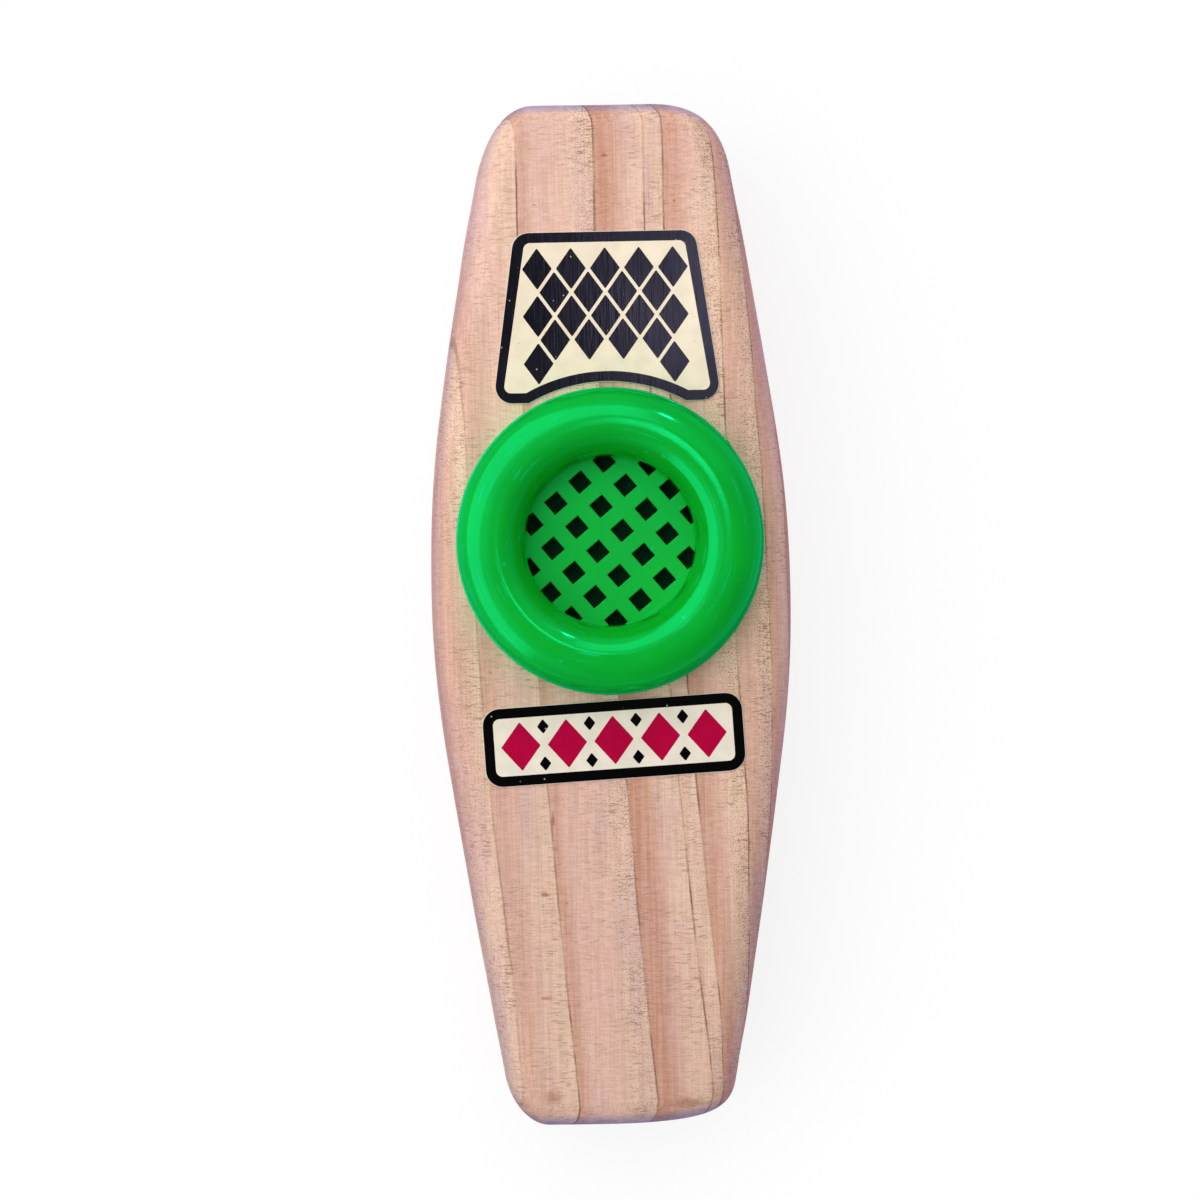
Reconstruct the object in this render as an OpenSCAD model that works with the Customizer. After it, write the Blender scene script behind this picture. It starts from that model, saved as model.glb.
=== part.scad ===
// Wooden kazoo with a screw-on sound cap. Millimetres.
// It lies on its flat back: +Z comes out of the front face, +Y runs along the body towards the
// outlet end, and the mouth end is at -Y. The origin is the middle of the back face.

/* [Wooden body] */
// Length of the body, end to end
body_len = 130; // [126:1:140]
// Width of the body across its belly
body_w = 46; // [45:0.5:52]
// Thickness of the body, back face to front face
body_t = 22; // [21:0.5:26]
// How far the widest place lies from the middle, towards the outlet end
belly_shift = 3.2; // [0:0.1:6]
// Radius of the belly's arc, seen from the front
belly_r = 145; // [130:1:170]
// Lean of each straight side, in degrees
side_lean = 8.7; // [8:0.1:9.5]
// Radius of the corners at the outlet end, seen from the front
outlet_corner_r = 8; // [5:0.5:9]
// Radius of the corners at the mouth end, seen from the front
mouth_corner_r = 6; // [4:0.5:7]
// Rounding of the long edges
side_edge_r = 4.5; // [3:0.25:5]
// Rounding of the edges round the two ends
end_edge_r = 3; // [2:0.25:3.5]

/* [Airway] */
// Radius of the hole that runs from end to end
airway_r = 5.5; // [4.5:0.25:6]
// Chamfer round each mouth of that hole
airway_chamfer = 0.8; // [0.4:0.1:1.2]
// Step from the socket's ledge in to the wall of the chamber under the membrane
chamber_step = 0.5; // [0.2:0.1:1.5]
// How far the chamber's floor lies below the airway's lowest line
chamber_drop = 0.5; // [0.2:0.1:1.5]
// How far the cap's axis lies from the middle, towards the outlet end
cap_y = 9.3; // [5:0.1:12]

/* [Socket] */
// Wall of the socket's tube, at the root of its thread
tube_wall = 1.6; // [1.4:0.05:2]
// Depth of the tube in the wood
tube_depth = 4; // [3.6:0.1:4.4]
// Height of the tube above its flange
collar_h = 3.9; // [3.5:0.1:4.1]
// Thickness of the flange that lies on the wood
flange_t = 0.9; // [0.7:0.05:1.2]
// How far the flange shows outside the cap
flange_lip = 0.35; // [0.1:0.05:0.5]
// Rounding of the flange's upper edge
flange_edge_r = 0.3; // [0.1:0.05:0.5]
// Thickness of the ledge that carries the membrane
ledge_t = 1.5; // [1.2:0.1:1.8]
// Width of that ledge
ledge_w = 2.4; // [2.1:0.1:3]

/* [Thread] */
// Rise of the thread in one turn
thread_pitch = 2; // [1.8:0.05:2.3]
// Depth of the thread
thread_depth = 0.6; // [0.4:0.05:0.65]
// Width of a ridge at its root
ridge_root_w = 0.9; // [0.7:0.05:1]
// Width of a ridge at its crest
ridge_crest_w = 0.4; // [0.3:0.05:0.5]
// Turns of the ridge on the socket
male_turns = 1.15; // [0.9:0.05:1.2]
// Turns of the ridge in the cap
female_turns = 0.9; // [0.6:0.05:0.95]
// Height of the male ridge's start above the flange
male_start_h = 0.8; // [0.7:0.05:0.9]

/* [Membrane] */
// Thickness of the sealing washer
washer_t = 0.8; // [0.5:0.05:0.9]
// Width of the sealing washer, from bore to edge
washer_w = 2.1; // [1.6:0.05:2.3]
// Thickness of the film
film_t = 0.1; // [0.05:0.01:0.2]
// Thickness of the hoop that the film is bonded to
hoop_t = 1; // [0.8:0.05:1.1]
// Width of the hoop, from bore to edge
hoop_w = 1.9; // [1.5:0.05:2.1]

/* [Grille] */
// Thickness of the grille disc
grille_t = 1.4; // [1.2:0.05:1.5]
// Side of one square window
window_side = 2.1; // [1.8:0.05:2.5]
// Distance between windows
window_pitch = 4.05; // [3.8:0.05:4.4]
// Turn of the lattice, in degrees
lattice_turn = 40; // [0:1:90]
// Width of the plain rim round the windows
grille_rim_w = 1.9; // [1.8:0.05:2]
// Width of the key that stops the disc turning
key_w = 2; // [1.5:0.1:3]
// How far the key stands out of the disc
key_reach = 1; // [0.7:0.05:1]

/* [Cap] */
// Radius of the cap's throat
throat_r = 10.7; // [10:0.1:11]
// Width of the cap's nose, from the throat out
nose_w = 2.5; // [2.3:0.05:2.8]
// Wall of the cap outside its thread
cap_wall = 3.2; // [2.8:0.1:3.4]
// Thickness of the cap's roof over the socket's collar
roof_t = 2.3; // [2:0.1:3]
// Radius of the cap's rounded crest
bead_r = 3.75; // [3.4:0.05:4]
// Slope at which the crest's rounding passes into the funnel's, in degrees
funnel_turn = 45; // [35:1:50]
// Radius of the moulding's gate mark
gate_r = 0.9; // [0.6:0.1:1.2]
// How far the gate mark stands out of the cap
gate_reach = 0.4; // [0.2:0.05:0.6]
// Height of the gate mark
gate_h = 1.2; // [0.8:0.1:1.6]
// Direction of the gate mark round the cap, in degrees from +X
gate_turn = 39; // [0:1:359]
// Width of the stem of the lip that holds the grille in the cap
lip_stem_w = 0.4; // [0.3:0.05:0.5]
// Width of that lip's head
lip_head_w = 0.8; // [0.7:0.05:0.85]
// Height of the stem
lip_stem_h = 0.6; // [0.5:0.05:0.8]
// Height of the head
lip_head_h = 0.5; // [0.4:0.05:0.7]

/* [Stickers] */
// Thickness of both stickers
sticker_t = 0.2; // [0.1:0.05:0.3]
// Corner radius of both stickers
sticker_corner_r = 2.2; // [1:0.1:3]
// Gap between a sticker and the socket's flange
sticker_gap = 0.8; // [0.5:0.1:2]
// Width of the upper sticker along its lower edge
upper_low_w = 29; // [24:0.5:29.5]
// Width of the upper sticker along its upper edge
upper_top_w = 23; // [18:0.5:24]
// Bare wood between the upper sticker and the outlet end
upper_margin = 16.5; // [14:0.5:22]
// How far the lower corners of the upper sticker reach down beside the flange
upper_drop = 2.6; // [0:0.1:3.5]
// Length of the lower sticker
lower_w = 33; // [28:0.5:34]
// Height of the lower sticker
lower_h = 10; // [7:0.5:11]
// Tilt of the lower sticker, in degrees
lower_tilt = 3; // [0:0.5:4]

/* [Clearances] */
// Radial gap between parts that slide or turn in one another
run_gap = 0.2; // [0.15:0.01:0.22]
// Radial gap for glue between the socket and the wood
glue_gap = 0.05; // [0.03:0.01:0.1]
// Gap all round the grille's lip in the cap
snap_gap = 0.1; // [0.08:0.01:0.12]
// Gap between the top of the collar and the cap
collar_gap = 0.4; // [0.3:0.05:0.6]

/* [Hidden] */

round_fn = 96;     // segments of a full turn
corner_steps = 8;  // steps along one corner of the body's outline
belly_steps = 12;  // steps along one belly
edge_steps = 8;    // steps over one rounded edge
thread_steps = 48; // sections of a ridge in one turn
overrun = 1;       // how far a cut runs past what it cuts

// Levels, from the wood upwards
airway_z = body_t / 2;
chamber_floor_z = airway_z - airway_r - chamber_drop;
socket_z = body_t - tube_depth;
ledge_z = socket_z + ledge_t;
film_z = ledge_z + washer_t;
hoop_z = film_z + film_t;
grille_z = hoop_z + hoop_t;
nose_z = grille_z + grille_t;
rim_z = body_t + flange_t;
collar_z = rim_z + collar_h;
channel_z = collar_z + collar_gap;
crest_z = channel_z + roof_t;

// Radii, from the throat outwards
insert_r = throat_r + nose_w;
socket_bore_r = insert_r + run_gap;
tube_r = socket_bore_r + tube_wall;
male_crest_r = tube_r + thread_depth;
cap_bore_r = male_crest_r + run_gap;
cap_r = cap_bore_r + cap_wall;
flange_r = cap_r + flange_lip;
female_crest_r = tube_r + run_gap;
ledge_bore_r = socket_bore_r - ledge_w;
chamber_r = ledge_bore_r - chamber_step;
lip_r = (throat_r + insert_r) / 2;
key_r = insert_r + key_reach;

// The cap's crest is an arc from its outer wall, and a wider arc leads on down to the throat.
crest_r = cap_r - bead_r;
bead_mid = [crest_r, crest_z - bead_r];
funnel_r = (crest_r - throat_r - bead_r * sin(funnel_turn)) / (1 - sin(funnel_turn));
funnel_mid = bead_mid + (funnel_r - bead_r) * [sin(funnel_turn), -cos(funnel_turn)];
blend_z = bead_mid[1] + bead_r * cos(funnel_turn);

// The female ridge climbs half a pitch above the male one.
ridge_sink = run_gap;
male_start_z = rim_z + male_start_h;
female_start_turn = -90;
female_start_z = male_start_z + thread_pitch * (1 / 2 + female_start_turn / 360);
ridge_runout_share = 0.15; // share of a ridge over which it rises from the wall at each end
ridge_bury_share = 0.15;   // share of the thread's depth by which a ridge's end lies in the wall

// One arc as points with the direction of their outward normal: [x, y, angle]
function arc(mid, r, from, to, steps) =
    [for (i = [0:steps]) let (a = from + (to - from) * i / steps)
        [mid[0] + r * cos(a), mid[1] + r * sin(a), a]];

// Middle of the arc of radius r that rounds a corner at the outlet end (s = 1) or the mouth end (-1)
function corner_mid(s, r) =
    let (y = body_len / 2 - r,
         x0 = body_w / 2 - belly_r * (1 - cos(side_lean)),
         y0 = s * belly_shift + belly_r * sin(side_lean))
    [x0 + ((y0 - y) * sin(side_lean) - r) / cos(side_lean), s * y];

// The body's outline, anticlockwise from the right-hand belly
function outline() =
    let (belly = [body_w / 2 - belly_r, belly_shift],
         top = corner_mid(1, outlet_corner_r),
         low = corner_mid(-1, mouth_corner_r))
    concat(
        arc(belly, belly_r, -side_lean, side_lean, belly_steps),
        arc(top, outlet_corner_r, side_lean, 90, corner_steps),
        arc([-top[0], top[1]], outlet_corner_r, 90, 180 - side_lean, corner_steps),
        arc([-belly[0], belly[1]], belly_r, 180 - side_lean, 180 + side_lean, belly_steps),
        arc([-low[0], low[1]], mouth_corner_r, 180 + side_lean, 270, corner_steps),
        arc(low, mouth_corner_r, 270, 360 - side_lean, corner_steps));

// Rounding of the edge where the outline faces the angle a
function edge_r(a) = end_edge_r + (side_edge_r - end_edge_r) * pow(cos(a), 2);

// One level of the body: the outline drawn in along a rounded edge, at tilt t from the side wall,
// on the front edge or on the back one
function level(points, t, front) =
    [for (p = points) let (r = edge_r(p[2]), inset = r * (1 - cos(t)), rise = r * (1 - sin(t)))
        [p[0] - inset * cos(p[2]), p[1] - inset * sin(p[2]), front ? body_t - rise : rise]];

// The solid block with its rounded edges
module body_block() {
    points = outline();
    n = len(points);
    rings = concat([for (i = [edge_steps:-1:0]) level(points, 90 * i / edge_steps, false)],
                   [for (i = [0:edge_steps]) level(points, 90 * i / edge_steps, true)]);
    last = len(rings) - 1;
    sides = [for (i = [0:last - 1], k = [0:n - 1], half = [0, 1])
        let (a = i * n + k, b = i * n + (k + 1) % n)
        half == 0 ? [a, a + n, b + n] : [a, b + n, b]];
    polyhedron([for (ring = rings) each ring],
        concat(sides, [[for (k = [0:n - 1]) k]], [[for (k = [n - 1:-1:0]) last * n + k]]));
}

// A ridge that climbs round a wall: from its root at root_r to its crest at crest_r
module thread_ridge(root_r, crest_r, start_z, start_turn, turns) {
    steps = round(turns * thread_steps);
    depth = crest_r - root_r;
    sunk_r = root_r - sign(depth) * ridge_sink;
    rise = [for (i = [0:steps]) let (s = i / steps) min(1, s / ridge_runout_share, (1 - s) / ridge_runout_share)];
    points = [for (i = [0:steps])
        let (a = start_turn + 360 * turns * i / steps,
             z = start_z + thread_pitch * turns * i / steps,
             r = root_r + depth * (rise[i] * (1 + ridge_bury_share) - ridge_bury_share))
        for (p = [[sunk_r, -ridge_root_w], [r, -ridge_crest_w], [r, ridge_crest_w], [sunk_r, ridge_root_w]])
            [p[0] * cos(a), p[0] * sin(a), z + p[1] / 2]];
    faces = concat(
        [for (i = [0:steps - 1], k = [0:3], half = [0, 1])
            let (a = 4 * i + k, b = 4 * i + (k + 1) % 4)
            half == 0 ? [a, b, b + 4] : [a, b + 4, a + 4]],
        [[3, 2, 1], [3, 1, 0]],
        [[4 * steps, 4 * steps + 1, 4 * steps + 2], [4 * steps, 4 * steps + 2, 4 * steps + 3]]);
    polyhedron(points, depth > 0 ? faces : [for (f = faces) [f[2], f[1], f[0]]]);
}

// A ring of square section: radii, level and height
module ring(inner_r, outer_r, z, h) {
    translate([0, 0, z]) difference() {
        cylinder(r = outer_r, h = h, $fn = round_fn);
        translate([0, 0, -overrun]) cylinder(r = inner_r, h = h + 2 * overrun, $fn = round_fn);
    }
}

module at_cap() {
    translate([0, cap_y, 0]) children();
}

// The airway with its chamfered mouths, lying along Y
module airway() {
    translate([0, body_len / 2 + overrun, airway_z]) rotate([90, 0, 0])
        cylinder(r = airway_r, h = body_len + 2 * overrun, $fn = round_fn);
    for (s = [-1, 1])
        translate([0, s * (body_len / 2 + overrun), airway_z]) rotate([s * 90, 0, 0])
            cylinder(r1 = airway_r + airway_chamfer + overrun, r2 = airway_r,
                     h = airway_chamfer + overrun, $fn = round_fn);
}

// The body: one block of pine, drilled from end to end and from the front
module wooden_body() {
    color("burlywood") difference() {
        body_block();
        airway();
        at_cap() translate([0, 0, socket_z])
            cylinder(r = tube_r + glue_gap, h = tube_depth + overrun, $fn = round_fn);
        at_cap() translate([0, 0, chamber_floor_z])
            cylinder(r = chamber_r, h = body_t - chamber_floor_z, $fn = round_fn);
    }
}

// Half section of the socket: tube, ledge and flange
module socket_section() {
    translate([socket_bore_r, socket_z]) square([tube_wall, collar_z - socket_z]);
    translate([ledge_bore_r, socket_z]) square([socket_bore_r - ledge_bore_r + tube_wall / 2, ledge_t]);
    translate([socket_bore_r, body_t]) square([flange_r - flange_edge_r - socket_bore_r, flange_t]);
    translate([flange_r - 2 * flange_edge_r, body_t]) square([2 * flange_edge_r, flange_t - flange_edge_r]);
    translate([flange_r - flange_edge_r, rim_z - flange_edge_r]) circle(r = flange_edge_r, $fn = round_fn);
}

// The socket: glued in the wood, threaded outside, slotted inside for the grille's key
module cap_socket() {
    color("forestgreen") at_cap() difference() {
        union() {
            rotate_extrude($fn = round_fn) socket_section();
            thread_ridge(tube_r, male_crest_r, male_start_z, 0, male_turns);
        }
        translate([0, -key_w / 2 - run_gap, grille_z - run_gap])
            cube([key_r + run_gap, key_w + 2 * run_gap, collar_z - grille_z + run_gap + overrun]);
    }
}

// Soft washer between the ledge and the film
module sealing_washer() {
    color("dimgray") at_cap() ring(insert_r - washer_w, insert_r, ledge_z, washer_t);
}

// The film that buzzes
module membrane_film() {
    color("darkslategray") at_cap() translate([0, 0, film_z])
        cylinder(r = insert_r, h = film_t, $fn = round_fn);
}

// The hoop that keeps the film taut
module membrane_hoop() {
    color("black") at_cap() ring(insert_r - hoop_w, insert_r, hoop_z, hoop_t);
}

// The windows of the lattice, cut off by the rim; a bar crosses the middle
module lattice_windows() {
    field_r = insert_r - grille_rim_w;
    reach = ceil(field_r / window_pitch);
    intersection() {
        circle(r = field_r, $fn = round_fn);
        rotate(lattice_turn)
            for (i = [-reach:reach - 1], j = [-reach:reach])
                translate([(i + 1 / 2) * window_pitch, j * window_pitch])
                    square(window_side, center = true);
    }
}

// The lip that snaps into the cap, grown by a gap for the groove that it turns in
module lip_section(gap) {
    translate([lip_r - lip_stem_w / 2 - gap, 0])
        square([lip_stem_w + 2 * gap, lip_stem_h + lip_head_h + gap]);
    translate([lip_r - lip_head_w / 2 - gap, lip_stem_h - gap])
        square([lip_head_w + 2 * gap, lip_head_h + 2 * gap]);
}

// The grille: a lattice disc with a key outside and a snap lip on top
module grille_disc() {
    color("limegreen") at_cap() {
        difference() {
            translate([0, 0, grille_z]) union() {
                cylinder(r = insert_r, h = grille_t, $fn = round_fn);
                translate([0, -key_w / 2, 0]) cube([key_r, key_w, grille_t]);
            }
            translate([0, 0, grille_z - overrun])
                linear_extrude(grille_t + 2 * overrun) lattice_windows();
        }
        translate([0, 0, nose_z]) rotate_extrude($fn = round_fn) lip_section(0);
    }
}

// Half section of the cap: round crest, outer wall, and the funnel with the nose that presses on
// the grille, less the channel for the socket's collar and the groove for the grille's lip
module cap_section() {
    funnel_w = crest_r - throat_r;
    difference() {
        union() {
            translate(bead_mid) circle(r = bead_r, $fn = round_fn);
            translate([crest_r, rim_z]) square([bead_r, bead_mid[1] - rim_z]);
            intersection() {
                translate(funnel_mid) circle(r = funnel_r, $fn = round_fn);
                translate([throat_r, funnel_mid[1]]) square([funnel_w, blend_z - funnel_mid[1]]);
            }
            translate([throat_r, nose_z]) square([funnel_w, funnel_mid[1] - nose_z]);
        }
        translate([insert_r, nose_z - bead_r])
            square([cap_bore_r - insert_r, channel_z - nose_z + bead_r]);
        translate([insert_r, rim_z - bead_r]) square([cap_r - insert_r + overrun, bead_r]);
        translate([throat_r - overrun, nose_z - bead_r]) square([funnel_w + overrun, bead_r]);
        translate([0, nose_z]) lip_section(snap_gap);
    }
}

// The cap: one moulding that screws on the socket
module screw_cap() {
    color("limegreen") at_cap() {
        rotate_extrude($fn = round_fn) cap_section();
        thread_ridge(cap_bore_r, female_crest_r, female_start_z, female_start_turn, female_turns);
        rotate([0, 0, gate_turn]) translate([cap_r + gate_reach - gate_r, 0, rim_z])
            cylinder(r = gate_r, h = gate_h, $fn = round_fn);
    }
}

// Upper sticker: a panel that narrows with the body, hollowed below to clear the flange
module upper_sticker() {
    clear_r = flange_r + sticker_gap;
    low_y = cap_y + clear_r - upper_drop + sticker_corner_r;
    top_y = body_len / 2 - upper_margin - sticker_corner_r;
    color("ivory") translate([0, 0, body_t]) linear_extrude(sticker_t) difference() {
        hull() for (s = [-1, 1]) {
            translate([s * (upper_low_w / 2 - sticker_corner_r), low_y])
                circle(r = sticker_corner_r, $fn = round_fn);
            translate([s * (upper_top_w / 2 - sticker_corner_r), top_y])
                circle(r = sticker_corner_r, $fn = round_fn);
        }
        translate([0, cap_y]) circle(r = clear_r, $fn = round_fn);
    }
}

// Lower sticker: a slightly tilted band
module lower_sticker() {
    mid_y = cap_y - flange_r - sticker_gap - lower_h / 2;
    color("crimson") translate([0, mid_y, body_t]) rotate([0, 0, lower_tilt])
        linear_extrude(sticker_t) hull() for (sx = [-1, 1], sy = [-1, 1])
            translate([sx * (lower_w / 2 - sticker_corner_r), sy * (lower_h / 2 - sticker_corner_r)])
                circle(r = sticker_corner_r, $fn = round_fn);
}

wooden_body();
cap_socket();
sealing_washer();
membrane_film();
membrane_hoop();
grille_disc();
screw_cap();
upper_sticker();
lower_sticker();
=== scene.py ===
"""Dresses the wooden kazoo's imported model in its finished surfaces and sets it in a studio.

Sizes are in millimetres, unless a name says otherwise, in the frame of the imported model: the body
lies on its flat back, +Z comes out of its front, and +Y points at its outlet end.
"""
import logging
import math
from collections.abc import Sequence
from dataclasses import dataclass, field
from enum import Enum
from typing import ClassVar

import bmesh
import bpy
from mathutils import Matrix, Vector


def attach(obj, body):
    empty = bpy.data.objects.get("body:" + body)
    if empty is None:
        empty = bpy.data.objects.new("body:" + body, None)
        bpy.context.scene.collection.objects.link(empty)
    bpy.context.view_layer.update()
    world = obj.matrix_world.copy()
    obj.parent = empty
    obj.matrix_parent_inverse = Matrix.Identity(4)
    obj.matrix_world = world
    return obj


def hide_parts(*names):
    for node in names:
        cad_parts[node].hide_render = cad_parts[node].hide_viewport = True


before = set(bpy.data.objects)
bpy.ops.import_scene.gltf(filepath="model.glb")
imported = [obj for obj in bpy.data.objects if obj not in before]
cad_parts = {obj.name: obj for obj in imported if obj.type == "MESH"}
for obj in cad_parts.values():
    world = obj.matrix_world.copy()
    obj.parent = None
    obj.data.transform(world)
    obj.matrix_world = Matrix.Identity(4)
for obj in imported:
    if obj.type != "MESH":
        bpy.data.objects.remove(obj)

LOG = logging.getLogger("kazoo")
MM = 0.001
WELD_M = 1e-7
CREASE_DEG = 35.0
DOT_CORE = 0.4

Flat = tuple[float, float]
Solid = tuple[float, float, float]
Colour = tuple[float, float, float]
Piece = bpy.types.Object
Material = bpy.types.Material
Socket = bpy.types.NodeSocket
Feed = Socket | float | tuple[float, ...]

CAP_MID: Flat = (0.0, 9.3)
WOOD_TOP = 22.0

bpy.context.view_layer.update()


class Body(Enum):
    """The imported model's bodies that pieces ride on."""

    KAZOO = "kazoo_body"
    GRILLE = "grille"
    CAP = "cap"


class Slot(Enum):
    """The material slots' names."""

    PINE = "pine"
    GREEN = "green_plastic"
    RUBBER = "black_rubber"
    FILM = "membrane"
    HOOP = "black_plastic"
    STICKER = "sticker"


def hand_over(piece: Piece, body: Body, slot: Slot, *nodes: str) -> None:
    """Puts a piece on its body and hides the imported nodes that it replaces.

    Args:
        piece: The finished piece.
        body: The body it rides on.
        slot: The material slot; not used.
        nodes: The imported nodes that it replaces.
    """
    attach(piece, body.value)
    if nodes:
        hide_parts(*nodes)
    LOG.info("%s rides on %s with %d faces", piece.name, body.value, len(piece.data.polygons))


# Mesh work


def finish_mesh(mesh: bpy.types.Mesh, crease_deg: float) -> None:
    """Shades a mesh smooth and keeps its creases sharp.

    Args:
        mesh: The mesh to shade.
        crease_deg: The least angle between two faces that counts as a crease.
    """
    mesh.shade_smooth()
    mesh.set_sharp_from_angle(angle=math.radians(crease_deg))


def linked(name: str, data: bpy.types.ID) -> Piece:
    """Makes an object of some data and links it to the scene.

    Args:
        name: The object's name.
        data: Its mesh, curve, light or camera.

    Returns:
        The object.
    """
    made = bpy.data.objects.new(name, data)
    bpy.context.scene.collection.objects.link(made)
    return made


def close_up(mesh: bpy.types.Mesh) -> None:
    """Welds a mesh's seams and turns its normals outwards.

    Args:
        mesh: The mesh.
    """
    bm = bmesh.new()
    bm.from_mesh(mesh)
    bmesh.ops.remove_doubles(bm, verts=bm.verts[:], dist=WELD_M)
    bmesh.ops.recalc_face_normals(bm, faces=bm.faces[:])
    bm.to_mesh(mesh)
    bm.free()


def make_piece(
    name: str, points: Sequence[Solid], faces: Sequence[Sequence[int]], crease_deg: float = CREASE_DEG
) -> Piece:
    """Makes a mesh object of points and faces, with its normals turned outwards.

    Args:
        name: The piece's name.
        points: The corners, in millimetres.
        faces: The faces, as indices of corners.
        crease_deg: The least angle that is left sharp.

    Returns:
        The new object, linked to the scene.
    """
    mesh = bpy.data.meshes.new(name)
    mesh.from_pydata([tuple(c * MM for c in p) for p in points], [], faces)
    close_up(mesh)
    finish_mesh(mesh, crease_deg)
    return linked(name, mesh)


def drop(piece: Piece) -> None:
    """Deletes a helper object and its data.

    Args:
        piece: The helper.
    """
    data = piece.data
    bpy.data.objects.remove(piece)
    if isinstance(data, bpy.types.Mesh):
        bpy.data.meshes.remove(data)


def settle(piece: Piece, crease_deg: float = CREASE_DEG) -> None:
    """Applies a piece's modifiers to its mesh.

    Args:
        piece: The piece with modifiers.
        crease_deg: The least angle that is left sharp.
    """
    seen = piece.evaluated_get(bpy.context.evaluated_depsgraph_get())
    mesh = bpy.data.meshes.new_from_object(seen)
    piece.modifiers.clear()
    old = piece.data
    piece.data = mesh
    bpy.data.meshes.remove(old)
    finish_mesh(mesh, crease_deg)


def cut(piece: Piece, tool: Piece) -> None:
    """Cuts a tool's shape out of a piece, and deletes the tool.

    Args:
        piece: The piece.
        tool: The shape that is cut out.
    """
    knife = piece.modifiers.new("cut", "BOOLEAN")
    knife.operation = "DIFFERENCE"
    knife.solver = "EXACT"
    knife.object = tool
    settle(piece)
    drop(tool)


def join(name: str, pieces: Sequence[Piece], crease_deg: float = CREASE_DEG) -> Piece:
    """Joins pieces of one moulding into one object.

    Args:
        name: The joined piece's name.
        pieces: The pieces, which are deleted.
        crease_deg: The least angle that is left sharp.

    Returns:
        The joined piece.
    """
    bm = bmesh.new()
    for piece in pieces:
        bm.from_mesh(piece.data)
    mesh = bpy.data.meshes.new(name)
    bm.to_mesh(mesh)
    bm.free()
    for piece in pieces:
        drop(piece)
    finish_mesh(mesh, crease_deg)
    return linked(name, mesh)


@dataclass(frozen=True)
class Bend:
    """A corner of a drawn path, with the radius that it is rounded to."""

    across: float
    up: float
    radius: float = 0.0


def draw(bends: Sequence[Bend], steps: int = 5) -> list[Flat]:
    """Rounds the corners of a closed path.

    Args:
        bends: The path's corners in order.
        steps: The steps over each rounded corner.

    Returns:
        The path's points.
    """
    path: list[Flat] = []
    for i, bend in enumerate(bends):
        here = Vector((bend.across, bend.up))
        if bend.radius == 0:
            path.append((here.x, here.y))
            continue
        last, following = bends[i - 1], bends[(i + 1) % len(bends)]
        before = Vector((last.across, last.up)) - here
        after = Vector((following.across, following.up)) - here
        before.normalize()
        after.normalize()
        half = before.angle(after) / 2
        middle = here + (before + after).normalized() * bend.radius / math.sin(half)
        start = here + before * bend.radius / math.tan(half) - middle
        end = here + after * bend.radius / math.tan(half) - middle
        turn = math.atan2(start.x * end.y - start.y * end.x, start.dot(end))
        for k in range(steps + 1):
            a = math.atan2(start.y, start.x) + turn * k / steps
            path.append((middle.x + bend.radius * math.cos(a), middle.y + bend.radius * math.sin(a)))
    return path


def turned(
    name: str, profile: Sequence[Flat], mid: Flat, segments: int = 192, crease_deg: float = CREASE_DEG
) -> Piece:
    """Turns a closed profile about an axis along Z.

    Args:
        name: The piece's name.
        profile: Radius and height of each point, in order.
        mid: Where the axis stands.
        segments: The steps of a full turn.
        crease_deg: The least angle that is left sharp.

    Returns:
        The turned piece.
    """
    n = len(profile)
    turns = [math.tau * s / segments for s in range(segments)]
    points = [(mid[0] + r * math.cos(a), mid[1] + r * math.sin(a), z) for a in turns for r, z in profile]
    faces = [
        (s * n + k, (s + 1) % segments * n + k, (s + 1) % segments * n + (k + 1) % n, s * n + (k + 1) % n)
        for s in range(segments)
        for k in range(n)
        if profile[k][0] > 0 or profile[(k + 1) % n][0] > 0
    ]
    return make_piece(name, points, faces, crease_deg)


def stacked(name: str, rings: Sequence[Sequence[Solid]], crease_deg: float = CREASE_DEG) -> Piece:
    """Skins a stack of rings of equally many points and closes it at both ends.

    Args:
        name: The piece's name.
        rings: The rings, from the lowest to the highest.
        crease_deg: The least angle that is left sharp.

    Returns:
        The closed piece.
    """
    n = len(rings[0])
    faces: list[Sequence[int]] = [
        (i * n + k, i * n + (k + 1) % n, (i + 1) * n + (k + 1) % n, (i + 1) * n + k)
        for i in range(len(rings) - 1)
        for k in range(n)
    ]
    faces.append(list(range(n - 1, -1, -1)))
    faces.append([(len(rings) - 1) * n + k for k in range(n)])
    return make_piece(name, [p for ring in rings for p in ring], faces, crease_deg)


def facing(path: Sequence[Flat]) -> list[Flat]:
    """Gives the outward direction at each point of a closed path drawn anticlockwise.

    Args:
        path: The path's points.

    Returns:
        One direction of length 1 for each point.
    """
    out: list[Flat] = []
    for i, here in enumerate(path):
        back, ahead = path[i - 1], path[(i + 1) % len(path)]
        dx, dy = ahead[0] - back[0], ahead[1] - back[1]
        size = math.hypot(dx, dy) or 1.0
        out.append((dy / size, -dx / size))
    return out


def plate(name: str, path: Sequence[Flat], low: float, high: float, edge: float) -> Piece:
    """Makes a flat plate.

    Args:
        name: The piece's name.
        path: The plate's outline, anticlockwise.
        low: Level of its underside.
        high: Level of its top.
        edge: Radius of the upper edge, or 0 for a sharp one.

    Returns:
        The plate.
    """
    tilts = (0.0, 0.52, 1.05, math.pi / 2)
    flat_from = 4 * edge
    crease_deg = 50.0
    out = facing(path)
    levels = [(0.0, low), (0.0, high)]
    if edge:
        levels[1:] = [(edge * (1 - math.cos(a)), high - edge * (1 - math.sin(a))) for a in tilts]
        levels.append((flat_from, high))
    rings = [[(p[0] - i * o[0], p[1] - i * o[1], z) for p, o in zip(path, out)] for i, z in levels]
    return stacked(name, rings, crease_deg)


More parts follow.
